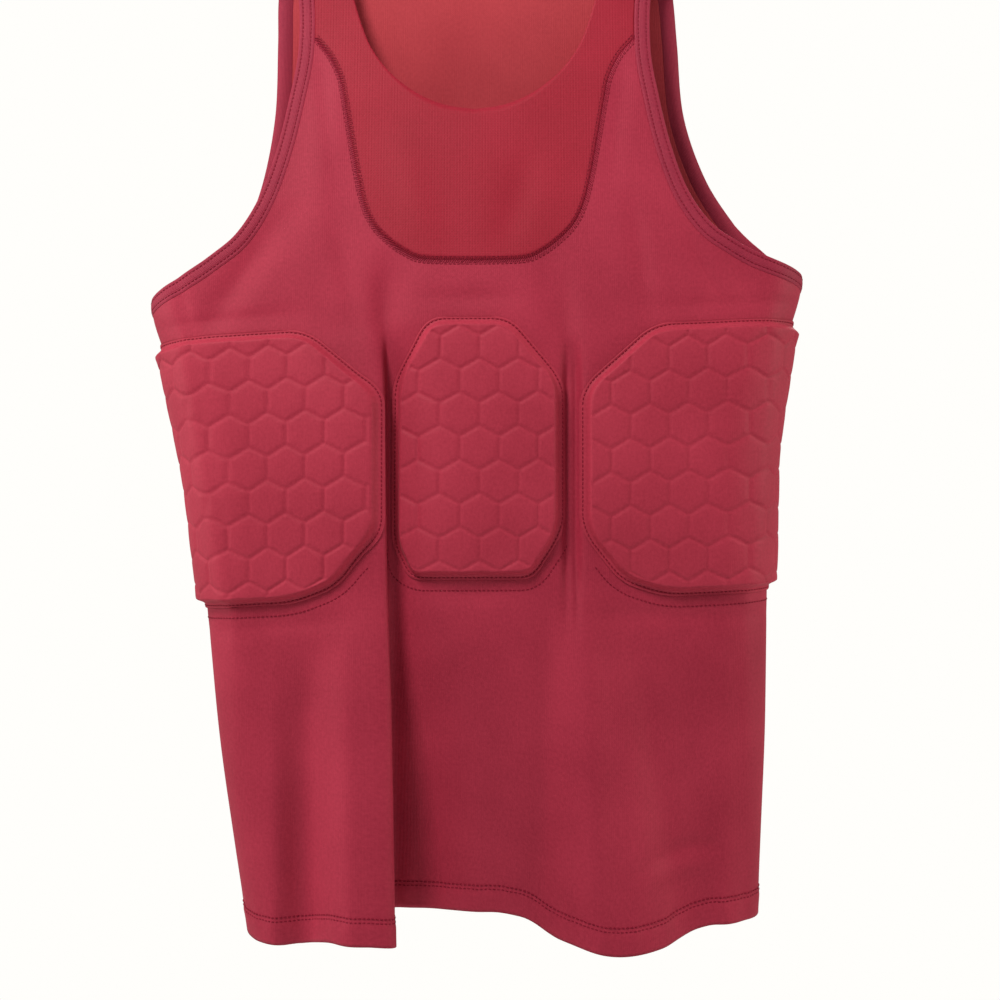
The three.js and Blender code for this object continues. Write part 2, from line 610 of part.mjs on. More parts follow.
function solidOf(geometry) {
  return new wasm.Manifold(
    new wasm.Mesh({
      numProp: 3,
      vertProperties: new Float32Array(geometry.attributes.position.array),
      triVerts: new Uint32Array(geometry.index.array),
    }),
  );
}
function meshFrom(solid) {
  const mesh = solid.getMesh();
  const points = [];
  for (let i = 0; i < mesh.numVert; i += 1) {
    points.push(new THREE.Vector3(...mesh.vertProperties.subarray(i * mesh.numProp, i * mesh.numProp + 3)));
  }
  const triangles = [];
  for (let i = 0; i < mesh.triVerts.length; i += 3) triangles.push([...mesh.triVerts.subarray(i, i + 3)]);
  return { points, triangles };
}

// Pads are made flat (x across, y down, z out), then laid on the cloth.

function roundedOutline(corners) {
  const path = new THREE.Path();
  corners.forEach((corner, i) => {
    const here = new THREE.Vector2(corner.across, corner.down);
    const reach = (other) => {
      const toward = new THREE.Vector2(other.across, other.down).sub(here).normalize();
      return here.clone().addScaledVector(toward, corner.round);
    };
    const from = reach(corners[(i + corners.length - 1) % corners.length]);
    const to = reach(corners[(i + 1) % corners.length]);
    if (i === 0) path.moveTo(from.x, from.y);
    else path.lineTo(from.x, from.y);
    path.quadraticCurveTo(here.x, here.y, to.x, to.y);
  });
  const points = path.getPoints(CORNER_STEPS);
  const single = points.filter((p, i) => p.distanceTo(points[(i + 1) % points.length]) > 0.01);
  return THREE.ShapeUtils.isClockWise(single) ? single.reverse() : single;
}
function insetOutline(points, inset) {
  const n = points.length;
  return points.map((p, i) => {
    const before = p.clone().sub(points[(i + n - 1) % n]).normalize();
    const after = points[(i + 1) % n].clone().sub(p).normalize();
    const tangent = before.clone().add(after).normalize();
    const square = new THREE.Vector2(-tangent.y, tangent.x);
    return p.clone().addScaledVector(square, inset / Math.max(0.5, tangent.dot(after)));
  });
}
function padBlank(outline) {
  const sections = PAD_STEPS.map((step) =>
    insetOutline(outline, step.inset).map((p) => new THREE.Vector3(p.x, p.y, step.height)),
  );
  const n = outline.length;
  const positions = sections.flat();
  const triangles = [];
  for (let i = 0; i < sections.length - 1; i += 1) {
    for (let k = 0; k < n; k += 1) {
      const a = i * n + k;
      const b = i * n + ((k + 1) % n);
      triangles.push([a, b, b + n], [a, b + n, a + n]);
    }
  }
  const top = (sections.length - 1) * n;
  for (let k = 1; k < n - 1; k += 1) triangles.push([0, k + 1, k], [top, top + k, top + k + 1]);
  return geometryOf(positions, triangles);
}
// A slab whose top is a field of hexagonal cells, each a raised flat inside a groove.
function cellSlab(box, origin) {
  const corner = (half, k) => {
    const radius = (2 * half) / Math.sqrt(3);
    const angle = (Math.PI / 3) * k + Math.PI / 6;
    return new THREE.Vector2(radius * Math.cos(angle), radius * Math.sin(angle));
  };
  const rowStep = CELL_HALF * Math.sqrt(3);
  const points = [];
  const shared = new Map();
  const add = (centre, half, k, height) => {
    const p = corner(half, k).add(centre);
    const seat = `${Math.round((p.x - origin.x) / CELL_HALF)},${Math.round((3 * (p.y - origin.y)) / rowStep)}`;
    if (half === CELL_HALF && shared.has(seat)) return shared.get(seat);
    points.push(new THREE.Vector3(p.x, p.y, height));
    if (half === CELL_HALF) shared.set(seat, points.length - 1);
    return points.length - 1;
  };
  const triangles = [];
  const firstRow = Math.floor((box.min.y - origin.y) / rowStep) - 1;
  const firstCell = Math.floor((box.min.x - origin.x) / (2 * CELL_HALF)) - 1;
  for (let row = firstRow; origin.y + (row - 1) * rowStep < box.max.y; row += 1) {
    const shift = (Math.abs(row) % 2) * CELL_HALF;
    for (let i = firstCell; origin.x + (2 * i - 2) * CELL_HALF < box.max.x; i += 1) {
      const centre = new THREE.Vector2(origin.x + 2 * i * CELL_HALF + shift, origin.y + row * rowStep);
      const ring = (half, height) => [0, 1, 2, 3, 4, 5].map((k) => add(centre, half, k, height));
      const flat = ring(CELL_FLAT, PAD_HEIGHT);
      const groove = ring(CELL_GROOVE, PAD_HEIGHT - CELL_DEPTH);
      const rim = ring(CELL_HALF, PAD_HEIGHT);
      triangles.push([flat[0], flat[2], flat[4]]);
      for (const k of [0, 2, 4]) triangles.push([flat[k], flat[k + 1], flat[(k + 2) % 6]]);
      for (const [near, far] of [[flat, groove], [groove, rim]]) {
        for (let k = 0; k < 6; k += 1) {
          const next = (k + 1) % 6;
          triangles.push([near[k], far[k], far[next]], [near[k], far[next], near[next]]);
        }
      }
    }
  }
  return wall(points, points.map((p) => new THREE.Vector3(p.x, p.y, -PAD_HEIGHT)), triangles);
}
// The underside of a flat pad as one many-sided face, and its other faces as they are.
function withWholeUnderside({ points, triangles }) {
  const isLow = (face) => face.every((i) => points[i].z < 1e-6);
  const follow = new Map();
  for (const [a, b, c] of triangles.filter(isLow)) {
    for (const [p, q] of [[a, b], [b, c], [c, a]]) {
      if (follow.get(q)?.delete(p)) continue;
      follow.set(p, (follow.get(p) ?? new Set()).add(q));
    }
  }
  const start = [...follow.keys()].find((p) => follow.get(p).size > 0);
  const rim = [start];
  for (let [next] = follow.get(start); next !== start; [next] = follow.get(next)) rim.push(next);
  return { points, faces: [...triangles.filter((face) => !isLow(face)), rim] };
}
// Cuts the low edges of a flat pad where they cross a line, and the faces between such cuts.
function splitLow(mesh, axis, value) {
  const { points } = mesh;
  const side = (i) => {
    const distance = points[i][axis] - value;
    return Math.abs(distance) < SPLIT_MARGIN ? 0 : Math.sign(distance);
  };
  const cuts = new Map();
  const cutOn = (i, j) => {
    if (Math.max(points[i].z, points[j].z) > PAD_SPLIT_HEIGHT || side(i) * side(j) >= 0) return [];
    const [p, q] = i < j ? [i, j] : [j, i];
    const key = `${p},${q}`;
    if (!cuts.has(key)) {
      points.push(points[p].clone().lerp(points[q], (value - points[p][axis]) / (points[q][axis] - points[p][axis])));
      cuts.set(key, points.length - 1);
    }
    return [cuts.get(key)];
  };
  mesh.faces = mesh.faces.flatMap((face) => {
    const ring = face.flatMap((i, k) => [i, ...cutOn(i, face[(k + 1) % face.length])]);
    const onLine = ring.map((_, k) => k).filter((k) => side(ring[k]) === 0 && points[ring[k]].z <= PAD_SPLIT_HEIGHT);
    if (onLine.length < 2) return [ring];
    const [from, to] = [onLine[0], onLine[onLine.length - 1]];
    const near = ring.slice(from, to + 1);
    const far = [...ring.slice(to), ...ring.slice(0, from + 1)];
    const hasBulk = (part) => part.some((i) => side(i) !== 0);
    return hasBulk(near) && hasBulk(far) ? [near, far] : [ring];
  });
}
// Cuts a flat convex face into triangles, the best shaped first.
function triangulated(face, points) {
  const triangles = [];
  let ring = face;
  const twiceArea = (a, b, c) => {
    const ab = points[b].clone().sub(points[a]);
    return ab.cross(points[c].clone().sub(points[a])).length();
  };
  const quality = (k) => {
    const [a, b, c] = [ring[(k + ring.length - 1) % ring.length], ring[k], ring[(k + 1) % ring.length]];
    const area = twiceArea(a, b, c);
    if (area < MIN_AREA) return -1;
    const rest = ring.filter((_, i) => i !== k);
    const restArea = rest.slice(2).reduce((sum, c2, i) => sum + twiceArea(rest[0], rest[i + 1], c2), 0);
    if (restArea < MIN_AREA) return -1;
    return area / points[a].distanceToSquared(points[c]);
  };
  while (ring.length > 3) {
    const marks = ring.map((_, k) => quality(k));
    const k = marks.indexOf(Math.max(...marks));
    triangles.push([ring[(k + ring.length - 1) % ring.length], ring[k], ring[(k + 1) % ring.length]]);
    ring = ring.filter((_, i) => i !== k);
  }
  return [...triangles, ring];
}
// Lays a point of the unrolled cloth, which may lie beyond the side seam, on the shirt.
function unrolled(across, down, distance) {
  const side = Math.sign(across);
  const beyond = Math.abs(across) - Math.abs(sideSeam(FRONT, side, down));
  if (beyond <= 0) return clothOffset(FRONT, across, down, distance);
  return clothOffset(BACK, sideSeam(BACK, side, down) - side * beyond, down, distance);
}
function pad(corners, linesAcross) {
  const outline = roundedOutline(corners);
  const box = new THREE.Box2().setFromPoints(outline);
  const origin = box.getCenter(new THREE.Vector2());
  const mesh = withWholeUnderside(meshFrom(solidOf(padBlank(outline)).intersect(solidOf(cellSlab(box, origin)))));
  for (const across of linesAcross) splitLow(mesh, "x", across);
  for (const down of PAD_ROWS) splitLow(mesh, "y", down);
  const base = WALL / 2 + PAD_LIFT;
  const laid = mesh.points.map((p) => unrolled(p.x, p.y, base + p.z));
  const triangles = mesh.faces.flatMap((face) => triangulated(face, mesh.points));
  const geometry = geometryOf(laid, triangles);
  return volumeOf(geometry) > 0 ? geometry : geometryOf(laid, triangles.map(([a, b, c]) => [a, c, b]));
}
function sidePad(side) {
  const start = Math.abs(side < 0 ? SIDE_PAD_INNER.left : SIDE_PAD_INNER.right);
  const corners = SIDE_PAD.map((c) => {
    const from = c.wraps ? Math.abs(sideSeam(FRONT, side, c.down)) : start;
    return { across: side * (from + c.inset), down: c.down, round: c.round };
  });
  const lines = [3, 8, 15].map((x) => side * (start + x));
  for (let x = PAD_LINES.from; x < PAD_LINES.to; x += x < PAD_LINES.bend ? PAD_LINES.wide : PAD_LINES.close) lines.push(side * x);
  return pad(corners, lines);
}

// The hanger

const rollCentre = (x) => SHOULDER_Z - crestDown(x) - CREST_RADIUS;
function hangerArms() {
  const sections = ARM_STATIONS.map(({ x, size }) => {
    const height = mix(ARM_HEIGHT, ARM_TIP_HEIGHT, Math.abs(x) / ARM_REACH);
    const middle = rollCentre(x) + ARM_RADIUS - height / 2;
    const profile = [];
    for (let k = 0; k <= ARM_TURNS; k += 1) {
      const angle = (Math.PI * k) / ARM_TURNS;
      profile.push([ARM_RADIUS * Math.cos(angle), rollCentre(x) + ARM_RADIUS * Math.sin(angle)]);
    }
    const foot = rollCentre(x) + ARM_RADIUS - height;
    profile.push([-ARM_RADIUS, foot + ARM_CHAMFER], [ARM_CHAMFER - ARM_RADIUS, foot]);
    profile.push([ARM_RADIUS - ARM_CHAMFER, foot], [ARM_RADIUS, foot + ARM_CHAMFER]);
    return profile.map(([y, z]) => new THREE.Vector3(x, y * size, mix(middle, z, size)));
  });
  return tube(sections, false);
}
const armPeak = rollCentre(0) + ARM_RADIUS;
const circle = (radius) => Array.from({ length: WIRE_SIDES }, (_, k) => {
  const angle = (2 * Math.PI * k) / WIRE_SIDES;
  return [radius * Math.cos(angle), radius * Math.sin(angle)];
});
function hangerBody() {
  const drill = [-SOCKET_DEPTH, SOCKET_DEPTH].map((rise) =>
    circle(HOOK_WIRE + SOCKET_PLAY).map(([x, y]) => new THREE.Vector3(x, y, armPeak + rise)),
  );
  const { points, triangles } = meshFrom(solidOf(hangerArms()).subtract(solidOf(tube(drill, false))));
  return geometryOf(points, triangles);
}
function hangerHook() {
  const radius = HOOK_INNER + HOOK_WIRE;
  const round = HOOK_ANGLES.map((degrees) => {
    const angle = THREE.MathUtils.degToRad(degrees);
    return new THREE.Vector3(radius * Math.cos(angle), 0, radius * Math.sin(angle) - HOOK_INNER);
  });
  const foot = armPeak - SOCKET_DEPTH + GAP;
  const stem = [[0, foot], [0, armPeak + 4], [0, -2.9 * HOOK_INNER], [4.5, -2.45 * HOOK_INNER]];
  const curve = new THREE.CatmullRomCurve3([...stem.map(([x, z]) => new THREE.Vector3(x, 0, z)), ...round]);
  const sections = Array.from({ length: HOOK_STATIONS + 1 }, (_, i) => {
    const centre = curve.getPointAt(i / HOOK_STATIONS);
    const ahead = curve.getTangentAt(i / HOOK_STATIONS);
    const square = new THREE.Vector3(-ahead.z, 0, ahead.x);
    return circle(HOOK_WIRE).map(([x, y]) => centre.clone().addScaledVector(square, x).setY(y));
  });
  return tube(sections, false);
}

// Assembly

const group = new THREE.Group();
group.name = "padded_shirt";
function addPiece(name, geometry, color, roughness, metalness = 0) {
  const faceted = geometry.toNonIndexed();
  faceted.computeVertexNormals();
  const mesh = new THREE.Mesh(faceted, new THREE.MeshStandardMaterial({ color, roughness, metalness }));
  mesh.name = name;
  group.add(mesh);
}
addPiece("front_panel", frontPanel.geometry, "#9c3040", 0.8);
addPiece("back_panel", backPanel.geometry, "#9c3040", 0.8);
addPiece("front_yoke", sheetWall(FRONT, yokeColumns), "#8a2233", 0.85);
addPiece("binding_left", tube(bandRing(-1), true), "#a02c3e", 0.75);
addPiece("binding_right", tube(bandRing(1), true), "#a02c3e", 0.75);
addPiece("pad_left", sidePad(-1), "#a83449", 0.8);
addPiece("pad_center", pad(MIDDLE_PAD, MIDDLE_PAD_LINES), "#a83449", 0.8);
addPiece("pad_right", sidePad(1), "#a83449", 0.8);
addPiece("hanger_body", hangerBody(), "#3a3a3d", 0.5);
addPiece("hanger_hook", hangerHook(), "#b8babd", 0.3, 1);

export default group;
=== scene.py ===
# %% [markdown]
# # A padded compression shirt on its hanger
#
# This lesson dresses a hanging sports shirt. Its maker sews stretch knit into a tube, sets a yoke of
# open mesh into the chest, and sews foam pads over the ribs and the stomach. The solids of the same
# shirt are loaded first, as a frame, and every piece made here takes the place of one of them.

from functools import partial

import bpy
import numpy as np
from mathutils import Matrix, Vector


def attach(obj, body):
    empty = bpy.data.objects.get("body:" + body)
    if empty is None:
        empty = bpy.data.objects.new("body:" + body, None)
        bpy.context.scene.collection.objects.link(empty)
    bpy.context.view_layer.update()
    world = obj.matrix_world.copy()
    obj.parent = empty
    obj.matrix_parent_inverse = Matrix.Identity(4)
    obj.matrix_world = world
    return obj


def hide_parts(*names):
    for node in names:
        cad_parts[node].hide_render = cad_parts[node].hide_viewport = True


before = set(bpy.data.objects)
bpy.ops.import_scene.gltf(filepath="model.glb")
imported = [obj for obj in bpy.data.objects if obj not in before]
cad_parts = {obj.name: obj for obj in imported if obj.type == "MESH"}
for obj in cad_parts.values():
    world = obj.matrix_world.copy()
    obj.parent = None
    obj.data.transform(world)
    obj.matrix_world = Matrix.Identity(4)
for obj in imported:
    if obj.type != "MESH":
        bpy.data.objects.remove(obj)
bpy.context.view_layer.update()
rng = np.random.default_rng(7)
print("solids:", ", ".join(sorted(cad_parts)))

# %% [markdown]
# ## Sizes
#
# Everything is measured in millimetres and turned to metres when a mesh is made. A point of cloth has a
# name of three parts: its sheet, how far across it lies, and how far down from the shoulder line. Tables
# hold what changes on the way down, one row for each height.

# %% Sizes of the shirt
MM = 0.001
FRONT, BACK = -1, 1
WALL = 1.2
SHOULDER_Z = -112.0
CREST_RADIUS = 7.0
HEM_DOWN, HEM_DEPTH = 700.0, 20.0
SPLIT_DOWN = 272.0
ARMPIT_DOWN = 250.0
YOKE_JOIN_DOWN = 73.0
BAND_WIDTH = 11.0
ARMHOLE_TOP = 137.0
ARM_SLOPE, ARM_LEVEL, ARM_BLEND = 0.325, 117.0, 22.0

DOWNS = [-60, 16, 130, 252, 300, 390, 475, 560, 640, 712]
OUTLINE = {
    "left": [-228, -228, -228, -230, -217, -199, -190, -182, -171, -160],
    "right": [233, 233, 233, 233, 221, 209, 208, 207, 204, 201],
    "front": [7, 7, 22, 38, 42, 44, 41, 37, 34, 32],
    "back": [7, 7, 17, 30, 33, 34, 33, 31, 30, 29],
    "bend": [42, 42, 42, 42, 42, 42, 40, 36, 32, 30],
}
print("flat width at the hem:", OUTLINE["right"][-1] - OUTLINE["left"][-1], "mm")

# %% [markdown]
# A curve through the rows of a table must not overshoot, or the cloth would bulge between rows. The
# usual answer is a cubic whose slope at each row is the harmonic mean of the slopes on its two sides.


# %% A smooth curve through a table
def through(xs, ys, x):
    """Cubic through the rows (xs, ys). The slope at a row is 2ab / (a + b), where a and b are the slopes
    beside it, or 0 where they differ in sign."""
    xs, ys, x = np.asarray(xs, float), np.asarray(ys, float), np.clip(x, xs[0], xs[-1])
    step = np.diff(xs)
    slope = np.diff(ys) / step
    before, after = slope[:-1], slope[1:]
    total = np.where(before + after == 0, 1, before + after)
    both = np.where(before * after > 0, 2 * before * after / total, 0)
    tangent = np.concatenate([slope[:1], both, slope[-1:]])
    i = np.clip(np.searchsorted(xs, x, side="right") - 1, 0, len(step) - 1)
    t = (x - xs[i]) / step[i]
    rise = t * t * (3 - 2 * t) * (ys[i + 1] - ys[i])
    return ys[i] + rise + step[i] * t * (1 - t) * ((1 - t) * tangent[i] - t * tangent[i + 1])


def rows(table, x):
    """The same for a table given as pairs."""
    xs, ys = zip(*table)
    return through(xs, ys, x)


def bump(distance, reach):
    """exp(-(distance / reach) squared): a soft hill, one high."""
    return np.exp(-((distance / reach) ** 2))


def blend(start, end, x):
    """0 before start, 1 after end, and 3tt - 2ttt between them."""
    t = np.clip((x - start) / (end - start), 0, 1)
    return t * t * (3 - 2 * t)


def mix(a, b, t):
    return a + (b - a) * t


def unit(vectors):
    return vectors / np.linalg.norm(vectors, axis=-1, keepdims=True)


def sample(at, known, line):
    """Points of a line at the places `at`, by straight steps between the known ones."""
    return np.stack([np.interp(at, known, column) for column in line.T], -1)


def lengths_along(line):
    """How far along the line each of its points lies."""
    return np.concatenate([[0], np.cumsum(np.linalg.norm(np.diff(line, axis=0), axis=1))])


print("half width of the chest:", float(through(DOWNS, OUTLINE["right"], 252.0)), "mm")

# %% [markdown]
# ## The hang of the cloth
#
# Real cloth takes its folds from gravity and from where it is held. A simulation would find folds of its
# own, so these are listed instead: soft ridges and troughs that run down the cloth, each with a path, a
# width and a strength. One fold is deeper than a ridge can be. There the cloth also moves sideways, and
# the left part hangs over the middle.

# %% Folds
MAIN_FOLD = {
    "at": [(280, -62), (330, -61.5), (450, -60), (560, -58.5), (712, -56.5)],
    "width": [(280, 8), (450, 8.5), (560, 11), (712, 12.5)],
    "curl": [(278, 0), (330, 1.05), (450, 1.2), (545, 1.9), (712, 2)],
    "lobe": [(280, 0), (330, 5), (450, 8), (560, 22), (712, 32)],
    "valley": [(280, 0), (325, 8), (450, 9), (560, 9), (712, 11)],
}
FOLD_STEEPNESS, LOBE_FAR, LOBE_NEAR, VALLEY_FROM, VALLEY_REACH = 2.2, 95, 8, 0.8, 2.6
PINCH_AT, PINCH_SPREAD, PINCH_REACH = 67.0, 3.6, 3.3
PINCH_DEPTH = [(290, 0), (325, 3.6), (425, 3.6), (500, 0)]
# Waves and creases: (name, path as (down, across), reach across, strength as (down, mm outwards)).
FRONT_WAVES = [
    ("belly", [(200, 0), (712, 20)], 150, [(60, 0), (260, 5), (480, 5), (712, 2)]),
    ("right lobe", [(470, 72), (712, 102)], 48, [(440, 0), (540, 9), (712, 25)]),
    ("right hollow", [(480, 150), (712, 160)], 26, [(480, 0), (600, -5), (712, -7)]),
    ("left ridge", [(480, -82), (712, -80)], 16, [(480, 0), (600, 3), (712, 5)]),
    ("left hollow", [(480, -112), (712, -118)], 15, [(480, 0), (580, -4), (712, -6)]),
    ("left side ridge", [(480, -150), (712, -140)], 16, [(500, 0), (600, 2), (712, 3)]),
    ("yoke corner fold", [(240, -58), (300, -60)], 10, [(225, 0), (262, -3), (340, 0)]),
    ("yoke right fold", [(240, 52), (300, 60)], 11, [(225, 0), (270, -2.5), (330, 0)]),
    ("left armpit fold", [(190, -130), (290, -190)], 13, [(190, 0), (240, -3.5), (290, 0)]),
    ("right armpit hollow", [(215, 180), (275, 196)], 16, [(215, 0), (256, -4), (290, 0)]),
    ("chest fold", [(120, -104), (240, -112)], 14, [(100, 0), (170, 2), (260, 0)]),
]
BACK_WAVES = [
    ("back middle", [(60, 0), (712, 12)], 120, [(60, 0), (260, 4), (712, 6)]),
    ("back left hollow", [(430, -70), (712, -84)], 24, [(430, 0), (560, -7), (712, -12)]),
    ("back left ridge", [(430, -120), (712, -124)], 22, [(430, 0), (712, 6)]),
    ("back right hollow", [(400, 62), (712, 76)], 26, [(400, 0), (560, -7), (712, -11)]),
    ("back right ridge", [(420, 118), (712, 122)], 24, [(420, 0), (712, 7)]),
    ("blade fold left", [(110, -96), (300, -74)], 18, [(100, 0), (190, -3), (300, 0)]),
    ("blade fold right", [(110, 96), (300, 80)], 18, [(100, 0), (200, -3), (300, 0)]),
]
SIDE_CALM = 34.0
DIPS = {
    FRONT: [(-175, 0), (-148, 4), (-120, 5), (-92, -1), (-75, -1), (-60, 2), (-48, -13), (10, -14),
            (32, -11), (60, 3), (104, 12), (128, 10), (142, 6), (156, 2), (170, 0), (205, 0)],
    BACK: [(-170, 0), (-84, -6), (12, 1), (76, -6), (205, 0)],
}
DIP_FROM = 480
SAG_LEFT, SAG_RIGHT, SAG_REACH, SAG_FROM, SAG_FULL = 10.0, -7.0, 225.0, 110, 258
print("waves:", len(FRONT_WAVES), "in front,", len(BACK_WAVES), "behind")

# %% [markdown]
# The solids carry the folds above. The cloth that shows also gets finer creases, made in the same way:
# long shallow ones between the deep folds, and short ones that cross them where the cloth bunches.

# %% Fine creases
FRONT_CREASES = [
    ("left pad bend", [(281, -199), (375, -184), (470, -166)], 6,
     [(262, 0), (300, 1.6), (450, 1.8), (500, 0.4)]),
    ("right pad bend", [(281, 206), (375, 197), (470, 188)], 6,
     [(262, 0), (300, 1.0), (450, 1.2), (500, 0.3)]),
    ("fold floor", [(300, -53), (712, -46)], 5, [(300, 0), (340, -1.5), (470, -2), (560, -3), (712, -3.5)]),
    ("lobe edge ridge", [(470, -71), (712, -70)], 6, [(480, 0), (560, 1.2), (712, 1.8)]),
    ("lobe middle ridge", [(480, -86), (712, -84)], 12, [(470, 0), (540, 2.2), (712, 3)]),
    ("left valley", [(480, -108), (600, -118), (712, -114)], 11,
     [(480, 0), (560, -2), (640, -3.6), (712, -3)]),
    ("left edge crease", [(480, -140), (712, -134)], 8, [(480, 0), (600, 1.6), (712, 2.2)]),
    ("middle hollow", [(470, -26), (712, -34)], 14, [(470, 0), (560, -1.4), (712, -2.4)]),
    ("middle rise", [(470, 6), (712, 2)], 13, [(470, 0), (600, 1.6), (712, 2.4)]),
    ("ridge foot", [(480, 52), (712, 46)], 11, [(462, 0), (520, -2.4), (640, -2.8), (712, -1.6)]),
    ("right ridge", [(470, 76), (560, 80), (712, 86)], 12, [(452, 0), (520, 3.2), (640, 3.2), (712, 2)]),
    ("right valley", [(480, 108), (560, 122), (640, 134), (712, 150)], 12,
     [(480, 0), (540, -2.6), (640, -3.8), (712, -2)]),
    ("right edge ridge", [(480, 152), (712, 176)], 9, [(480, 0), (560, 1.8), (712, 2.2)]),
    ("right side crease", [(480, 180), (712, 192)], 8, [(480, 0), (560, -1.2), (712, -1.6)]),
    ("strap crease left", [(60, -112), (200, -96)], 6, [(70, 0), (120, -0.8), (200, 0)]),
    ("strap crease right", [(60, 108), (210, 92)], 7, [(70, 0), (130, -0.8), (210, 0)]),
    ("armpit crease left", [(236, -206), (300, -190)], 6, [(225, 0), (262, -1.8), (300, 0)]),
    ("armpit crease right", [(225, 150), (290, 184)], 6, [(215, 0), (250, -1.6), (290, 0)]),
    ("chest crease right", [(180, 108), (290, 122)], 7, [(180, 0), (240, -1.3), (290, 0)]),
    ("chest crease left", [(200, -98), (290, -78)], 7, [(200, 0), (250, -1.2), (290, 0)]),
    ("gutter floor", [(300, 67), (430, 67)], 5, [(288, 0), (320, -3), (425, -3), (470, 0)]),
    ("between pads left", [(238, -66), (300, -60)], 6, [(238, 0), (275, -1.5), (320, 0)]),
    ("between pads right", [(238, 62), (320, 68)], 7, [(238, 0), (285, -1.8), (330, 0)]),
    ("yoke slack left", [(150, -52), (236, -30)], 14, [(140, 0), (200, 1.4), (236, 0.4)]),
    ("yoke slack right", [(150, 40), (236, 20)], 12, [(140, 0), (200, -1.3), (236, 0)]),
]
BACK_CREASES = [
    ("back crease a", [(430, -40), (712, -50)], 11, [(430, 0), (560, 2.6), (712, 3.6)]),
    ("back crease b", [(430, 26), (712, 38)], 12, [(430, 0), (560, 2.4), (712, 3.4)]),
    ("back crease c", [(400, -8), (712, -6)], 12, [(400, 0), (560, -2.2), (712, -3)]),
    ("back side crease left", [(480, -150), (712, -150)], 9, [(480, 0), (600, -1.8), (712, -2.6)]),
    ("back side crease right", [(480, 158), (712, 164)], 9, [(480, 0), (600, -1.8), (712, -2.6)]),
    ("back strap fold left", [(40, -116), (260, -132)], 9, [(40, 0), (130, 1.6), (260, 0)]),
    ("back strap fold right", [(40, 116), (260, 140)], 9, [(40, 0), (140, 1.5), (260, 0)]),
    ("back armpit fold left", [(190, -140), (310, -206)], 9, [(190, 0), (250, -2), (310, 0)]),
    ("back armpit fold right", [(190, 150), (310, 212)], 9, [(190, 0), (250, -2), (310, 0)]),
    ("back neck slack", [(40, 4), (200, -12)], 40, [(30, 0), (80, 1.8), (200, 0)]),
]
# Creases that run across: (name, down at each place across, reach, strength at each place across).
FRONT_CROSSINGS = [
    ("low right curve", [(108, 650), (124, 642), (150, 641), (176, 648)], 3.2,
     [(106, 0), (124, -1.8), (160, -1.6), (178, 0)]),
    ("low right lip", [(112, 660), (130, 652), (176, 660)], 4.5, [(108, 0), (140, 1.4), (178, 0)]),
    ("under right pad", [(80, 480), (190, 486)], 5, [(74, 0), (110, -1.6), (190, -0.8)]),
    ("under left pad", [(-180, 486), (-80, 480)], 5, [(-185, -0.8), (-120, -1.6), (-74, 0)]),
    ("under middle pad", [(-50, 466), (60, 464)], 5, [(-52, 0), (0, -1.4), (60, 0)]),
    ("above right pad", [(100, 270), (210, 270)], 5, [(92, 0), (150, -1.0), (215, -0.6)]),
    ("above left pad", [(-205, 272), (-110, 270)], 5, [(-210, -0.6), (-150, -1.0), (-96, 0)]),
    ("above middle pad", [(-30, 262), (30, 262)], 6, [(-48, 0), (0, -0.8), (44, 0)]),
]
BACK_CROSSINGS = [
    ("waist", [(-180, 468), (0, 486), (190, 470)], 20, [(-180, 0), (0, -2.2), (190, 0)]),
    ("above the waist", [(-180, 430), (20, 446), (190, 436)], 14, [(-190, 0), (-60, 1.6), (190, 0)]),
]
RIDGES = {FRONT: FRONT_WAVES + FRONT_CREASES, BACK: BACK_WAVES + BACK_CREASES}
CROSSINGS = {FRONT: FRONT_CROSSINGS, BACK: BACK_CROSSINGS}
print("folds and creases:", sum(map(len, (*RIDGES.values(), *CROSSINGS.values()))))

# %% [markdown]
# ### One function for every point
#
# The shirt hangs as a flat oval. Its sides are quarters of an ellipse, and the folds move each point
# along the direction that is square to the oval. Over the hanger the cloth rolls round a small circle.
# The same function serves every piece, so pieces that are sewn together meet.


# %% The surface of the cloth
def section(down):
    return {key: through(DOWNS, values, down) for key, values in OUTLINE.items()}


def side_seam(sheet, side, down):
    """Distance across to the side seam: the flat part plus a quarter of the oval, pi/4 (bend + depth)."""
    c = section(down)
    quarter = np.pi / 4 * (c["bend"] + (c["front"] if sheet == FRONT else c["back"]))
    return c["left"] + c["bend"] - quarter if side < 0 else c["right"] - c["bend"] + quarter


def crest_down(x):
    """The hanger's top line: slope times (root of xx + bb, less the level)."""
    return ARM_SLOPE * (np.hypot(x, ARM_BLEND) - ARM_LEVEL)


def shoulder_seam(x):
    return crest_down(x) + CREST_RADIUS * (1 - np.pi / 2)


def swell(waves, across, down):
    """Sum over the waves of strength(down) times a bump across their paths. With down and across
    exchanged, it gives the creases that run across."""
    total = np.zeros_like(across)
    for _, path, reach, strength in waves:
        total = total + rows(strength, down) * bump(across - rows(path, down), reach)
    return total


def folds(across, down):
    """The main fold: a step tanh(t) outwards, and -t exp(-tt) sideways, which turns it into an S."""
    at, width = rows(MAIN_FOLD["at"], down), rows(MAIN_FOLD["width"], down)
    t = (across - at) / width
    over = 0.5 - 0.5 * np.tanh(FOLD_STEEPNESS * t)
    lobe = rows(MAIN_FOLD["lobe"], down) * over * blend(at - LOBE_FAR, at - LOBE_NEAR, across)
    beyond = np.maximum(0, t - VALLEY_FROM)
    valley = -rows(MAIN_FOLD["valley"], down) * (1 - over) * bump(beyond, VALLEY_REACH)
    curl = -rows(MAIN_FOLD["curl"], down) * width * t * np.exp(-t * t)
    near = across - PINCH_AT
    lines = bump(near + PINCH_SPREAD, PINCH_REACH) + bump(near - PINCH_SPREAD, PINCH_REACH)
    return lobe + valley - rows(PINCH_DEPTH, down) * lines, curl


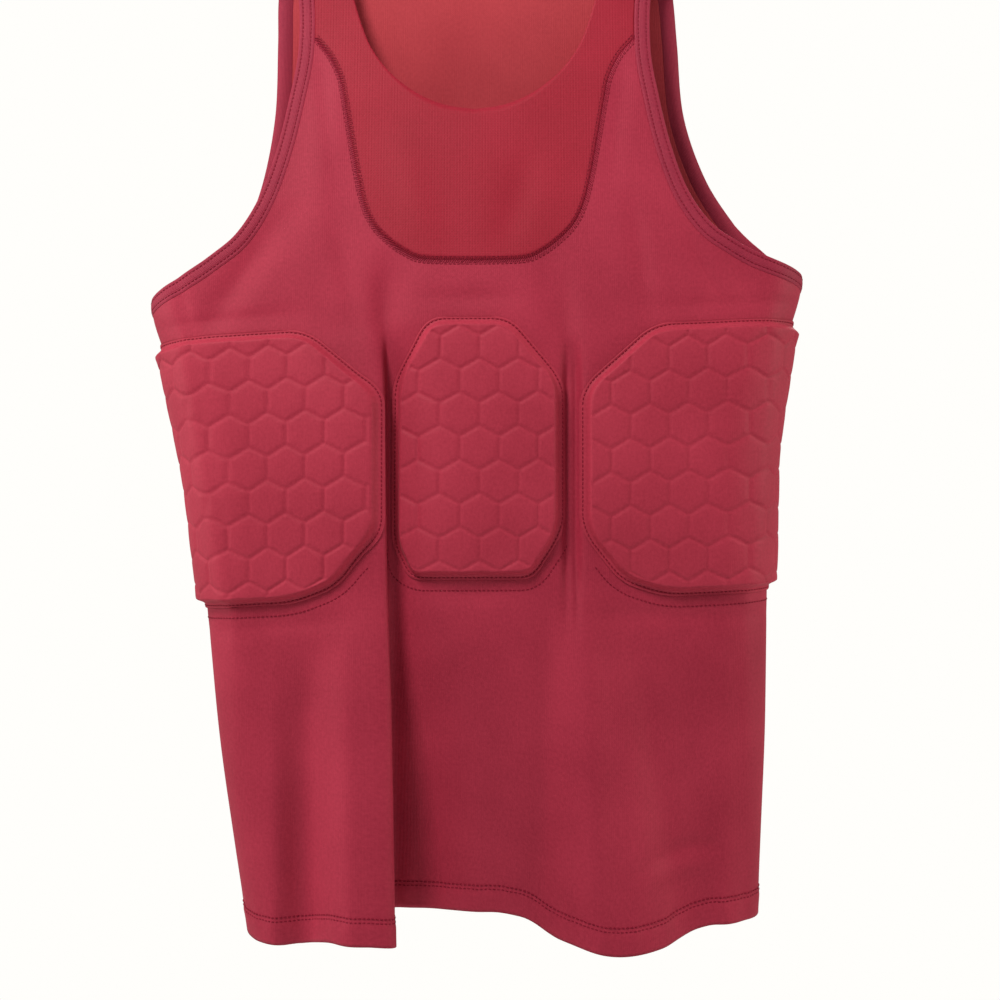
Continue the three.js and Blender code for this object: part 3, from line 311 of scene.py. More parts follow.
def cloth(sheet, across, down):
    """The middle of the cloth, as an array of x, y, z in millimetres."""
    across, down = np.broadcast_arrays(np.asarray(across, float), np.asarray(down, float))
    c = section(down)
    depth = c["front"] if sheet == FRONT else c["back"]
    sign = np.where(across < 0, -1.0, 1.0)
    start = np.where(across < 0, c["left"] + c["bend"], c["right"] - c["bend"])
    run = (c["bend"] + depth) / 2
    beyond = np.maximum(0, sign * (across - start))
    turn = beyond / run
    nx, ny = sign * np.sin(turn) / c["bend"], sheet * np.cos(turn) / depth
    length = np.hypot(nx, ny)
    x = np.where(beyond > 0, start + sign * c["bend"] * np.sin(turn), across)
    y = sheet * depth * np.cos(turn)
    calm = blend(0, SIDE_CALM, np.abs(np.pi / 2 * run - sign * (across - start)))
    out = swell(RIDGES[sheet], across, down) + swell(CROSSINGS[sheet], down, across)
    sideways = 0.0
    if sheet == FRONT:
        lobe, sideways = folds(across, down)
        out = out + lobe
    out = out * calm
    side = np.where(x < 0, SAG_LEFT, SAG_RIGHT)
    sag = side * (x / SAG_REACH) ** 2 * blend(SAG_FROM, SAG_FULL, down)
    dip = rows(DIPS[sheet], across) * blend(DIP_FROM, HEM_DOWN, down)
    z = SHOULDER_Z - down - sag - dip
    hanging = np.stack([x + out * nx / length + sideways, y + out * ny / length, z], -1)
    rolled = crest_down(across) + CREST_RADIUS - down
    turn = rolled / CREST_RADIUS
    z = SHOULDER_Z - crest_down(across) - CREST_RADIUS * (1 - np.sin(turn))
    over = np.stack([across, sheet * CREST_RADIUS * np.cos(turn), z], -1)
    return np.where((rolled > 0)[..., None], over, hanging)


def cloth_out(sheet, across, down, distance):
    """The same point moved square to the cloth, along the cross product of its two directions."""
    step = 0.4
    right = cloth(sheet, across + step, down) - cloth(sheet, across - step, down)
    below = cloth(sheet, across, down + step) - cloth(sheet, across, down - step)
    normal = unit(np.cross(below, right) * -sheet)
    return cloth(sheet, across, down) + normal * np.asarray(distance, float)[..., None]


def unrolled(across, down, distance):
    """A point of the front carried on round the side seam on to the back."""
    side = np.sign(across)
    front_seam = np.where(side < 0, side_seam(FRONT, -1, down), side_seam(FRONT, 1, down))
    back_seam = np.where(side < 0, side_seam(BACK, -1, down), side_seam(BACK, 1, down))
    beyond = np.abs(across) - np.abs(front_seam)
    front = cloth_out(FRONT, across, down, distance)
    back = cloth_out(BACK, back_seam - side * np.maximum(0, beyond), down, distance)
    return np.where((beyond <= 0)[..., None], front, back)


OUT = {sheet: partial(cloth_out, sheet) for sheet in (FRONT, BACK)}
print("a point of the chest:", np.round(cloth(FRONT, 0.0, 300.0), 1))

# %% [markdown]
# ## From arrays to meshes
#
# A surface is a grid of points. One helper makes the faces of any grid, and one makes the object, with a
# map of the cloth in metres, so that a weave keeps its size wherever the cloth bends.


# %% Mesh helpers
def grid_faces(columns, lines, wrap=(False, False), flip=False):
    """Quads of a grid with its points in column order, closed along its columns, lines or both."""
    last = np.array([columns, lines]) - 1 + wrap
    i, j = np.meshgrid(*map(np.arange, last), indexing="ij")
    after, below = (i + 1) % columns, (j + 1) % lines
    quads = np.stack([i * lines + j, i * lines + below, after * lines + below, after * lines + j], -1)
    quads = quads.reshape(-1, 4)
    return quads[:, ::-1] if flip else quads


def make_piece(name, points, faces, uv=None, smooth=True):
    """An object from points in millimetres; uv gives each point's place on the cloth, in millimetres."""
    mesh = bpy.data.meshes.new(name)
    faces = np.asarray(faces)
    mesh.vertices.add(len(points))
    mesh.vertices.foreach_set("co", (np.asarray(points) * MM).astype(np.float32).ravel())
    mesh.loops.add(faces.size)
    mesh.loops.foreach_set("vertex_index", faces.astype(np.int32).ravel())
    mesh.polygons.add(len(faces))
    mesh.polygons.foreach_set("loop_start", np.arange(0, faces.size, faces.shape[1], dtype=np.int32))
    mesh.update(calc_edges=True)
    mesh.validate()
    if uv is not None:
        layer = mesh.uv_layers.new(name="cloth")
        layer.uv.foreach_set("vector", (np.asarray(uv)[faces.ravel()] * MM).astype(np.float32).ravel())
    mesh.polygons.foreach_set("use_smooth", np.full(len(faces), smooth))
    piece = bpy.data.objects.new(name, mesh)
    bpy.context.collection.objects.link(piece)
    return piece


def thicken(piece):
    """Gives a sheet its wall, half to each side. The inner face takes the second material."""
    wall = piece.modifiers.new("wall", "SOLIDIFY")
    wall.thickness = WALL * MM
    wall.offset = 0.0
    wall.material_offset = 1


def dress(piece, slot, *materials):
    """Gives a piece its materials and its body. The slot argument is not used."""
    for material in materials:
        piece.data.materials.append(material)
    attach(piece, "root")


print("a grid of 3 by 4 points has", len(grid_faces(3, 4)), "quads")


# %% [markdown]
# ## Cut lines
#
# A cut line is a smooth curve through a few measured points, given as distance out from the centre line
# and distance down from the shoulder. The armhole band is drawn square to its edge, 11 mm wide.

# %% Cut lines
FRONT_ARMHOLE = [(137, 3), (126, 38), (124.5, 82), (130, 119), (138, 155), (149, 187), (164, 211),
                 (181, 225), (202, 238), (226, 246.5), (249, 250)]
BACK_ARMHOLE = {
    -1: [(137, 3), (142, 38), (143, 72), (146, 122), (156, 168), (171, 202), (190, 225), (212, 240),
         (240, 250)],
    1: [(137, 3), (143, 38), (146.5, 72), (152, 122), (168, 168), (189, 204), (202, 222), (217, 238),
        (240, 250)],
}
YOKE_SEAM = [(0, 236), (34, 235), (48, 229.5), (60, 220.5), (69.5, 210), (76, 196), (80.5, 178),
             (84.5, 157), (88, 137), (91.5, 117), (94.5, 103), (102, 87)]
FRONT_NECK = [(94, -10.6), (91, 18), (85.5, 46), (76, 75), (66, 92), (54, 105), (38, 116.5), (20, 124),
              (0, 127)]
BACK_NECK = [(94, -10.6), (86, 6), (70, 20), (40, 31), (0, 35)]
SAMPLES, SPAN_STEPS, MOVED_FROM = 400, 60, 150


def spline(points, count):
    """Catmull-Rom through the points, spaced evenly along its length. Each span is the cubic
    p1 + t (p2 - p0)/2 + tt (p0 - 5/2 p1 + 2 p2 - p3/2) + ttt (3/2 (p1 - p2) + (p3 - p0)/2)."""
    p = np.asarray(points, float)
    p = np.vstack([p[:1], p, p[-1:]])
    t = np.linspace(0, 1, SPAN_STEPS)[None, :, None]
    p0, p1, p2, p3 = (p[k : len(p) - 3 + k, None] for k in range(4))
    curve = p1 + t * (p2 - p0) / 2 + t * t * (p0 - 2.5 * p1 + 2 * p2 - p3 / 2)
    curve = curve + t**3 * (1.5 * (p1 - p2) + (p3 - p0) / 2)
    return evenly_spaced(curve.reshape(-1, 2), count)


def evenly_spaced(line, count):
    """Points at equal steps of length along a line."""
    length = lengths_along(line)
    return sample(np.linspace(0, length[-1], count), length, line)


def inward(line):
    """Unit direction square to a line, (-dy, dx), into the panel."""
    ahead = unit(np.gradient(line, axis=0))
    return np.stack([-ahead[:, 1], ahead[:, 0]], -1)


def armhole(sheet, side):
    """The armhole's edge and the inner line of its band, from the shoulder seam to the side seam. The
    table's lower end is moved out or in to meet that seam."""
    table = np.array(FRONT_ARMHOLE if sheet == FRONT else BACK_ARMHOLE[side], float)
    end = abs(float(side_seam(sheet, side, ARMPIT_DOWN)))
    table[:, 0] += (end - table[-1, 0]) * blend(MOVED_FROM, end, table[:, 0])
    edge = spline(table, SAMPLES)
    inner = edge + BAND_WIDTH * inward(edge)
    for line, inset in ((edge, 0), (inner, BAND_WIDTH)):
        out, down = ARMHOLE_TOP - inset, ARMPIT_DOWN + inset
        line[0] = out, shoulder_seam(out)
        line[-1] = abs(float(side_seam(sheet, side, down))), down
    return edge, inner


def yoke_seam(side):
    """The U seam from the centre line to the armhole band, and its index on the band's inner line."""
    inner = armhole(FRONT, side)[1]
    join = int(np.argmax(inner[:, 1] >= YOKE_JOIN_DOWN))
    return spline(YOKE_SEAM + [tuple(inner[join])], SAMPLES), join


print("armhole edge:", len(armhole(FRONT, 1)[0]), "points")

# %% [markdown]
# ## Laying out a panel
#
# Below the armpits the rows of a panel are level. Above, they fan out to follow its top edge. Columns
# gather at the deep fold, where the cloth turns sharply, and spread out where it is calm.

# %% Columns and rows of a panel
SPREAD_DOWN = 0.4
COUNTS = {"back": [44, 12, 62], "left": [14, 46, 16, 62], "right": [22, 34, 14, 62]}
STRAP_ROWS = np.linspace(0, 0.055, 9)[:-1]
FAN_ROWS = {FRONT: np.linspace(0, 1, 34) ** 1.1,
            BACK: np.concatenate([STRAP_ROWS, np.linspace(0.055, 1, 40)])}
HEM_TOP = HEM_DOWN - HEM_DEPTH - 2
LEVEL_ROWS = np.concatenate([np.linspace(SPLIT_DOWN, HEM_TOP, 86)[1:],
                             np.linspace(HEM_TOP, HEM_DOWN, 10)[1:]])
FOLD_HALF, PINCH_HALF, PINCH_HEM = 1.7, (9, 14), 78


def fold_stop(down, side):
    return rows(MAIN_FOLD["at"], down) + side * FOLD_HALF * rows(MAIN_FOLD["width"], down)


def pinch_stop(down, side):
    middle = mix(PINCH_AT, PINCH_HEM, blend(500, HEM_DOWN, down))
    return middle + side * mix(*PINCH_HALF, blend(480, HEM_DOWN, down))


def top_edge(sheet, side):
    """The top edge of half a panel from the centre line to the side seam, and the places of its corners."""
    inner = armhole(sheet, side)[1]
    if sheet == FRONT:
        seam, join = yoke_seam(side)
        return np.vstack([seam, inner[join + 1 :]]), [len(seam) - 1]
    neck = spline(BACK_NECK, SAMPLES)[::-1]
    crest = np.linspace(neck[-1, 0], inner[0, 0], 12)[1:-1]
    line = np.vstack([neck, np.stack([crest, shoulder_seam(crest)], -1), inner])
    return line, [len(neck) - 1, len(neck) + len(crest)]


def half_panel(sheet, side):
    """Arrays of across and down, a column for each line of points from the centre to the side seam."""
    line, corners = top_edge(sheet, side)
    run = np.abs(np.diff(line[:, 0])) + SPREAD_DOWN * np.abs(np.diff(line[:, 1]))
    share = np.concatenate([[0], np.cumsum(run)])
    share /= share[-1]
    down = np.concatenate([[SPLIT_DOWN], LEVEL_ROWS])
    seam = np.abs(side_seam(sheet, side, down))
    corner = [share[i] * seam for i in corners]
    if sheet == BACK:
        counts, inner_stops = COUNTS["back"], []
    elif side < 0:
        counts, inner_stops = COUNTS["left"], [-fold_stop(down, 1), -fold_stop(down, -1)]
    else:
        counts, inner_stops = COUNTS["right"], [pinch_stop(down, -1), pinch_stop(down, 1)]
    stops = [0 * down, *inner_stops, *corner, seam]
    spans_between = zip(stops[:-1], stops[1:], counts)
    level = [mix(a[:, None], b[:, None], np.arange(n) / n) for a, b, n in spans_between]
    level = np.concatenate([*level, stops[-1][:, None]], axis=1)
    top = sample(level[0] / seam[0], share, line)
    fan = FAN_ROWS[sheet][:-1, None]
    across = np.vstack([mix(top[None, :, 0], level[0][None], fan), level])
    flat_rows = np.broadcast_to(down[:, None], level.shape)
    downs = np.vstack([mix(top[None, :, 1], SPLIT_DOWN, fan), flat_rows])
    return side * across, downs


def panel_grid(sheet):
    """Both halves of a panel side by side, from the viewer's left to the right."""
    left, right = half_panel(sheet, -1), half_panel(sheet, 1)
    return [np.hstack([a[:, :0:-1], b]).T for a, b in zip(left, right)]


front_across, front_down = panel_grid(FRONT)
back_across, back_down = panel_grid(BACK)
print("front panel:", front_across.shape, "points; back panel:", back_across.shape)

# %% [markdown]
# ## Materials
#
# The body is a polyester and elastane jersey: a fine knit with a slight satin sheen, which looks pinkish
# where light grazes it. The colours are written as they look on a screen, and one function turns them to
# the linear values that Blender mixes.


# %% Material helpers
def linear(code):
    """sRGB hex to linear: c / 12.92 if it is dark, else ((c + 0.055) / 1.055) to the power 2.4."""
    srgb = np.array([int(code[i : i + 2], 16) for i in (1, 3, 5)]) / 255
    return (*np.where(srgb <= 0.04045, srgb / 12.92, ((srgb + 0.055) / 1.055) ** 2.4), 1.0)


def set_inputs(tree, node, inputs):
    """An input is a socket to link, or a value to set."""
    for key, value in inputs.items():
        if isinstance(value, bpy.types.NodeSocket):
            tree.links.new(value, node.inputs[key])
        else:
            node.inputs[key].default_value = value


def add_node(tree, kind, inputs=None, **settings):
    node = tree.nodes.new(kind)
    for key, value in settings.items():
        setattr(node, key, value)
    set_inputs(tree, node, inputs or {})
    return node


def new_material(name, roughness, metallic=0.0, sheen=0.0):
    """A material, its tree and its shader. Sheen is the pale pink of cloth that light grazes."""
    material = bpy.data.materials.new(name)
    material.use_nodes = True
    tree = material.node_tree
    shader = tree.nodes["Principled BSDF"]
    set_inputs(tree, shader, {"Roughness": roughness, "Metallic": metallic, "Sheen Weight": sheen,
                              "Sheen Roughness": 0.45, "Sheen Tint": linear("#ff9aa8")})
    return material, tree, shader


print("middle grey in linear values:", round(float(linear("#808080")[0]), 3))


# %% [markdown]
# A knit is drawn in the map of the cloth. Real loops are 0.5 mm apart, finer than a pixel of this view,
# so they are drawn a little over 1 mm apart and show as a grain. Slow noise gives the uneven dye of
# sportswear. The mesh knit of the yoke has small open holes, drawn as dots that sink in and are darkened
# with painted shade, in place of the shade seen through real openings.


# %% Knits
KNIT_ROUGHNESS, KNIT_SHINE = 0.62, 0.22
GRAIN, BLOTCH = 2.2, 70.0


def knit(name, dark, light, depth, sheen, wale=1.3, course=1.1, holes=None):
    """Loops: sine across the wales times sine along the courses, as relief. Colour: fine grain plus slow
    noise, from dark to light. Holes: where the product of two slanted sines is high, sunk in and darkened
    with painted shade, since the mesh is not cut through."""
    material, tree, shader = new_material(name, KNIT_ROUGHNESS, sheen=sheen)
    node = partial(add_node, tree)
    place = node("ShaderNodeTexCoord").outputs["UV"]
    scale = (2 * np.pi / (wale * MM), 2 * np.pi / (course * MM), 1.0)
    loops = node("ShaderNodeVectorMath", {0: place, 1: scale}, operation="MULTIPLY")
    waves = node("ShaderNodeVectorMath", {0: loops.outputs[0]}, operation="SINE")
    wave = node("ShaderNodeSeparateXYZ", {0: waves.outputs[0]}).outputs
    relief = node("ShaderNodeMath", {0: wave[0], 1: wave[1], 2: wave[0]}, operation="MULTIPLY_ADD")
    noise = {"Vector": place, "Detail": 3.0}
    grain = node("ShaderNodeTexNoise", {**noise, "Scale": 1 / (GRAIN * MM), "Roughness": 0.6})
    slow = node("ShaderNodeTexNoise", {**noise, "Scale": 1 / (BLOTCH * MM), "Roughness": 0.55})
    both = node("ShaderNodeMath", {0: grain.outputs[0], 1: slow.outputs[0]}, operation="ADD")
    tone = node("ShaderNodeMapRange", {"Value": both.outputs[0], "From Min": 0.65, "From Max": 1.35})
    dye = node("ShaderNodeMix", {"Factor": tone.outputs[0], "A": linear(dark), "B": linear(light)},
               data_type="RGBA")
    if holes is not None:
        slant = np.pi / (holes * MM)
        turned = node("ShaderNodeMapping",
                      {"Vector": place, "Rotation": (0, 0, np.pi / 4), "Scale": (slant, slant, 1)})
        lattice = node("ShaderNodeVectorMath", {0: turned.outputs[0]}, operation="SINE")
        two = node("ShaderNodeSeparateXYZ", {0: lattice.outputs[0]}).outputs
        product = node("ShaderNodeMath", {0: two[0], 1: two[1]}, operation="MULTIPLY")
        hole = node("ShaderNodeMapRange", {"Value": product.outputs[0], "From Min": 0.25, "From Max": 0.8})
        # Painted shade: the holes are darkened as if one saw the shade behind an open mesh.
        shade = node("ShaderNodeMath", {0: hole.outputs[0], 1: 0.3}, operation="MULTIPLY")
        dye = node("ShaderNodeMix", {"Factor": shade.outputs[0], "A": dye.outputs["Result"],
                                     "B": linear("#6d1422")}, data_type="RGBA")
        relief = node("ShaderNodeMath", {0: hole.outputs[0], 1: -2.0, 2: relief.outputs[0]},
                      operation="MULTIPLY_ADD")
    loop = node("ShaderNodeBump", {"Height": relief.outputs[0], "Strength": 0.5, "Distance": depth * MM})
    fuzz = node("ShaderNodeBump", {"Height": grain.outputs[0], "Normal": loop.outputs[0],
                                   "Strength": 0.35, "Distance": 0.25 * MM})
    set_inputs(tree, shader, {"Base Color": dye.outputs["Result"], "Normal": fuzz.outputs[0],
                              "Specular IOR Level": KNIT_SHINE})
    return material


jersey = knit("polyester_elastane_jersey", "#9a243d", "#b2324c", 0.05, 0.08)
jersey_inside = knit("jersey_reverse_side", "#ab3440", "#bd414c", 0.06, 0.08, 1.6, 1.4)
mesh_knit = knit("open_mesh_knit", "#961a2f", "#a8243b", 0.04, 0.05, 2.2, 2.2, holes=1.25)
mesh_inside = knit("mesh_knit_reverse_side", "#96232f", "#a62d3c", 0.04, 0.05, 2.2, 2.2, holes=1.25)
rib_tape = knit("folded_rib_tape", "#8f243f", "#a32f48", 0.1, 0.1, 1.0, 2.0)
pad_cover = knit("foam_cover_jersey", "#a12940", "#b6364e", 0.04, 0.12, 1.1, 1.0)
print("knits:", [m.name for m in (jersey, jersey_inside, mesh_knit, mesh_inside, rib_tape, pad_cover)])

# %% [markdown]
# The thread is twisted polyester, darker than the cloth. The hanger is moulded plastic with a fine
# spark texture and rubbed edges, and its hook is drawn steel wire with faint lines along it.


# %% Thread, plastic and steel
def twisted_thread(name, dark, light):
    """Fine bands along the object's own coordinates, so each stitch shows a twist."""
    material, tree, shader = new_material(name, 0.6)
    node = partial(add_node, tree)
    place = node("ShaderNodeTexCoord").outputs["Object"]
    wave = node("ShaderNodeTexWave", {"Vector": place, "Scale": 420.0, "Distortion": 1.5},
                bands_direction="DIAGONAL")
    twist = wave.outputs["Fac"]
    colour = node("ShaderNodeMix", {"Factor": twist, "A": linear(dark), "B": linear(light)},
                  data_type="RGBA")
    ridge = node("ShaderNodeBump", {"Height": twist, "Strength": 0.5, "Distance": 0.1 * MM})
    set_inputs(tree, shader, {"Base Color": colour.outputs["Result"], "Normal": ridge.outputs[0],
                              "Specular IOR Level": 0.12})
    return material


def moulded_plastic(name, base, worn):
    """Noise of about 0.5 mm as spark texture; edges are lightened where the surface is most pointed."""
    material, tree, shader = new_material(name, 0.42)
    node = partial(add_node, tree)
    place = node("ShaderNodeTexCoord").outputs["Object"]
    spark = node("ShaderNodeTexNoise", {"Vector": place, "Scale": 1 / (0.5 * MM), "Detail": 2.0})
    cloud = node("ShaderNodeTexNoise", {"Vector": place, "Scale": 1 / (30 * MM), "Detail": 4.0})
    edge = node("ShaderNodeNewGeometry").outputs["Pointiness"]
    rub = node("ShaderNodeMapRange", {"Value": edge, "From Min": 0.52, "From Max": 0.62})
    rubbed = node("ShaderNodeMath", {0: rub.outputs[0], 1: cloud.outputs[0]}, operation="MULTIPLY")
    colour = node("ShaderNodeMix", {"Factor": rubbed.outputs[0], "A": linear(base), "B": linear(worn)},
                  data_type="RGBA")
    relief = node("ShaderNodeBump", {"Height": spark.outputs[0], "Strength": 0.3, "Distance": 0.1 * MM})
    gloss = node("ShaderNodeMapRange", {"Value": cloud.outputs[0], "To Min": 0.34, "To Max": 0.52})
    set_inputs(tree, shader, {"Base Color": colour.outputs["Result"], "Roughness": gloss.outputs[0],
                              "Normal": relief.outputs[0]})
    return material


def drawn_steel(name, bright, dull):
    """Noise stretched along the wire gives drawing lines; slow noise dulls it unevenly."""
    material, tree, shader = new_material(name, 0.25, metallic=1.0)
    node = partial(add_node, tree)
    place = node("ShaderNodeTexCoord").outputs["Object"]
    stretched = node("ShaderNodeMapping", {"Vector": place, "Scale": (900.0, 900.0, 60.0)})
    lines = node("ShaderNodeTexNoise", {"Vector": stretched.outputs[0], "Scale": 1.0, "Detail": 2.0})
    slow = node("ShaderNodeTexNoise", {"Vector": place, "Scale": 1 / (9 * MM), "Detail": 3.0})
    gloss = node("ShaderNodeMapRange", {"Value": slow.outputs[0], "To Min": 0.16, "To Max": 0.36})
    tint = node("ShaderNodeMix", {"Factor": slow.outputs[0], "A": linear(bright), "B": linear(dull)},
                data_type="RGBA")
    relief = node("ShaderNodeBump", {"Height": lines.outputs[0], "Strength": 0.1, "Distance": 0.02 * MM})
    set_inputs(tree, shader, {"Base Color": tint.outputs["Result"], "Roughness": gloss.outputs[0],
                              "Normal": relief.outputs[0]})
    return material


thread = twisted_thread("polyester_thread", "#740f28", "#931f39")
hanger_plastic = moulded_plastic("moulded_black_plastic", "#242426", "#6a6a6c")
hook_steel = drawn_steel("drawn_steel_wire", "#c9cbcd", "#a8aaad")
print("made", thread.name, hanger_plastic.name, hook_steel.name)

# %% [markdown]
# ## Front and back panels
#
# Each panel is one sheet. Its hem is turned up, so the cloth stands a little proud there, and the two
# rows of stitches draw shallow grooves in it. The wall is given last, half to each side, and its inner
# face takes the reverse side of the knit.

# %% Panels
HEM_LINES = (16.0, 18.8)
HEM_STEP, GROOVE_REACH, GROOVE_DEPTH = 0.7, 1.5, 0.7
PUCKER_AT, PUCKER_REACH = 15, 8
PUCKER, DRIFT, RIPPLE = (0.28, 1.9), (1.3, 17), (0.2, 3.3)


def sine(across, size, width):
    return size * np.sin(across / width)


def hem_height(across, down):
    """How far the folded hem stands out: a step at its upper edge, less a groove at each stitch line,
    plus puckers, which are two sines across that fade away from the stitches."""
    up = HEM_DOWN - down
    size, width = PUCKER
    pucker = size * np.sin(across / width + sine(across, *DRIFT)) + sine(across, *RIPPLE)
    grooves = sum(bump(up - line, GROOVE_REACH) for line in HEM_LINES)
    step = HEM_STEP * blend(HEM_DEPTH + 1, HEM_DEPTH - 1.5, up)
    return step - GROOVE_DEPTH * grooves + pucker * bump(up - PUCKER_AT, PUCKER_REACH)


def sewn_sheet(name, sheet, across, down, height, slot, knits):
    """A sheet with its wall. Its flat cut is the range of its places across and down."""
    points = cloth_out(sheet, across, down, height).reshape(-1, 3)
    faces = grid_faces(*across.shape, flip=(sheet == BACK))
    piece = make_piece(name, points, faces, np.stack([across, -down], -1).reshape(-1, 2))
    thicken(piece)
    dress(piece, slot, *knits)
    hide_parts(name.replace("sewn_", ""))


for name, sheet, across, down in (("sewn_front_panel", FRONT, front_across, front_down),
                                  ("sewn_back_panel", BACK, back_across, back_down)):
    height = hem_height(across, down)
    sewn_sheet(name, sheet, across, down, height, "knit", (jersey, jersey_inside))

# %% [markdown]
# ## The mesh yoke
#
# The yoke is a ribbon of open mesh that runs from one shoulder, round the chest, to the other. Its
# columns join the neckline to the seam, so the rows run along the cut lines and the edges stay crisp.

# %% Yoke
NECK_MATCH = 0.465


def yoke_half(side, columns=150, lines=26):
    """Each column runs from a point of the neckline to a point of the outer line."""
    seam, join = yoke_seam(side)
    strap = armhole(FRONT, side)[1][: join + 1]
    strap_columns = int(columns * 0.4)
    outer = np.vstack([evenly_spaced(strap, strap_columns + 1)[:-1],
                       evenly_spaced(seam[::-1], columns - strap_columns)])
    share = np.concatenate([NECK_MATCH * np.linspace(0, 1, strap_columns + 1)[:-1],
                            np.linspace(NECK_MATCH, 1, columns - strap_columns)])
    neck = spline(FRONT_NECK, SAMPLES)
    neck[0, 1] = shoulder_seam(neck[0, 0])
    inner = sample(share * (SAMPLES - 1), np.arange(SAMPLES), neck)
    grid = mix(inner[:, None], outer[:, None], np.linspace(0, 1, lines)[None, :, None])
    return side * grid[..., 0], grid[..., 1]


across, down = (np.concatenate([a, b[-2::-1]]) for a, b in zip(yoke_half(-1), yoke_half(1)))
sewn_sheet("sewn_front_yoke", FRONT, across, down, 0 * across, "mesh", (mesh_knit, mesh_inside))

# %% [markdown]
# ## Armhole bands
#
# A folded tape binds each armhole, front and back in one ring. It is a profile carried along a path: the
# profile is a soft crown with a groove at each stitch line, and the path goes up the front edge, over
# the shoulder and down the back.

# %% Bands
BAND_PROUD, BAND_CROWN = 0.8, 0.35
BAND_ROWS, BAND_GROOVE, BAND_GROOVE_REACH = (2.6, 8.2), 0.3, 0.9
PATH_POINT = 10


def band_profile():
    """Inset from the edge and height over the cloth's middle, once round the folded tape."""
    inset = np.concatenate([[0.0], np.linspace(0.25, BAND_WIDTH - 0.25, 22), [BAND_WIDTH]])
    arch = np.sin(np.pi * np.clip(inset / BAND_WIDTH, 0, 1)) ** BAND_CROWN
    grooves = sum(bump(inset - line, BAND_GROOVE_REACH) for line in BAND_ROWS)
    crown = WALL / 2 + BAND_PROUD * np.minimum(1, arch) - BAND_GROOVE * grooves
    under = np.array([BAND_WIDTH, BAND_WIDTH - 0.4, BAND_WIDTH / 2, 0.4])
    low = np.array([-0.2, -WALL / 2, -WALL / 2 - 0.1, -WALL / 2])
    return np.concatenate([inset, under]), np.concatenate([crown, low])


def band(side, name, stations=260):
    """The profile carried along the armhole, up the front and down the back. Returns its length."""
    inset, height = band_profile()
    rings = []
    for sheet, order in ((FRONT, slice(None, None, -1)), (BACK, slice(1, -1))):
        pair = evenly_spaced(np.hstack(armhole(sheet, side)), stations)[order]
        place = mix(pair[:, None, :2], pair[:, None, 2:], (inset / BAND_WIDTH)[None, :, None])
        heights = np.broadcast_to(height, place.shape[:2])
        rings.append(cloth_out(sheet, side * place[..., 0], place[..., 1], heights))
    points = np.concatenate(rings)
    faces = grid_faces(*points.shape[:2], wrap=(True, True), flip=side < 0)
    along = lengths_along(points[:, PATH_POINT])
    uv = np.stack(np.broadcast_arrays(inset, along[:, None]), -1)
    piece = make_piece(name, points.reshape(-1, 3), faces, uv.reshape(-1, 2))
    dress(piece, "knit", rib_tape)
    print(f"{name}: {len(faces)} quads, {along[-1]:.0f} mm round")
    return piece, float(along[-1]) * MM


for side, word in ((-1, "left"), (1, "right")):
    tape, around = band(side, f"folded_binding_{word}")
    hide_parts(f"binding_{word}")

# %% [markdown]
# ## Foam pads
#
# A pad is moulded foam under a cover that is pressed on it with heat: a thin flange all round, a bevel,
# and a flat top with a shallow honeycomb. The whole relief is one height map over the cloth, worked out
# from the distance to the pad's outline and from the distance to the nearest cell wall.

# %% Pad outlines
PAD_HEIGHT, PAD_FLANGE, PAD_LIFT, PAD_WRAP = 7.0, 1.5, 0.15, 50.0
# Corners: (measured from, distance out, down, rounding) and (across, down, rounding).
SIDE_PAD = [("inner", 0, 324, 13), ("inner", 50, 281, 15), ("seam", PAD_WRAP, 281, 16),
            ("seam", PAD_WRAP, 470, 16), ("inner", 58, 470, 14), ("inner", 27, 459, 12),
            ("inner", 0, 424, 13)]
SIDE_PAD_INNER = {-1: 65.0, 1: 73.5}
MIDDLE_PAD = [(-53.5, 316, 13), (-32, 275, 13), (25, 275, 13), (61.5, 319, 13), (61.5, 424, 13),
              (41, 456, 10), (-44, 456, 10), (-53.5, 430, 10)]


def side_corners(side):
    start = {"inner": lambda down: SIDE_PAD_INNER[side],
             "seam": lambda down: abs(float(side_seam(FRONT, side, down)))}
    return [(side * (start[kind](down) + out), down, rounding) for kind, out, down, rounding in SIDE_PAD]


def rounded(corners, steps=14):
    """Each corner becomes the parabola (1-t)(1-t) a + 2t(1-t) corner + tt b, where a and b lie one
    rounding away along its two sides."""
    table = np.array(corners, float)
    p, reach = table[:, :2], table[:, 2:]
    a = p + reach * unit(np.roll(p, 1, axis=0) - p)
    b = p + reach * unit(np.roll(p, -1, axis=0) - p)
    t = np.linspace(0, 1, steps)[None, :, None]
    curve = (1 - t) ** 2 * a[:, None] + 2 * t * (1 - t) * p[:, None] + t * t * b[:, None]
    return curve.reshape(-1, 2)


def distance_inside(points, outline):
    """The least distance from each point to the segments of the outline."""
    a, b = outline, np.roll(outline, -1, axis=0)
    ab = b - a
    t = np.clip(((points[:, None] - a) * ab).sum(-1) / np.maximum(1e-9, (ab * ab).sum(-1)), 0, 1)
    return np.linalg.norm(points[:, None] - a - t[..., None] * ab, axis=-1).min(1)


print("middle pad outline:", len(rounded(MIDDLE_PAD)), "points")

# %% [markdown]
# The honeycomb is the plain hexagonal grid that many foams have. The distance to a wall of a regular
# grid needs no list of cells: its middles are two rectangular lattices, and the nearer of them counts.

# %% Pad relief
CELL = 26.4
GROOVE_WIDTH, CELL_DEPTH, CELL_CROWN, CELL_RISE = 1.25, 0.85, 0.3, 9
BEVEL, CELLS_FROM, TOP_SWELL, SWELL_ROWS = (3.2, 7.0), (6.0, 8.5), 0.5, (8, 45)
FLANGE_LINE, FLANGE_GROOVE, FLANGE_GROOVE_REACH = 1.9, 0.5, 0.8
FLANGE_EDGE, EDGE_SHARE = 1.2, 0.55


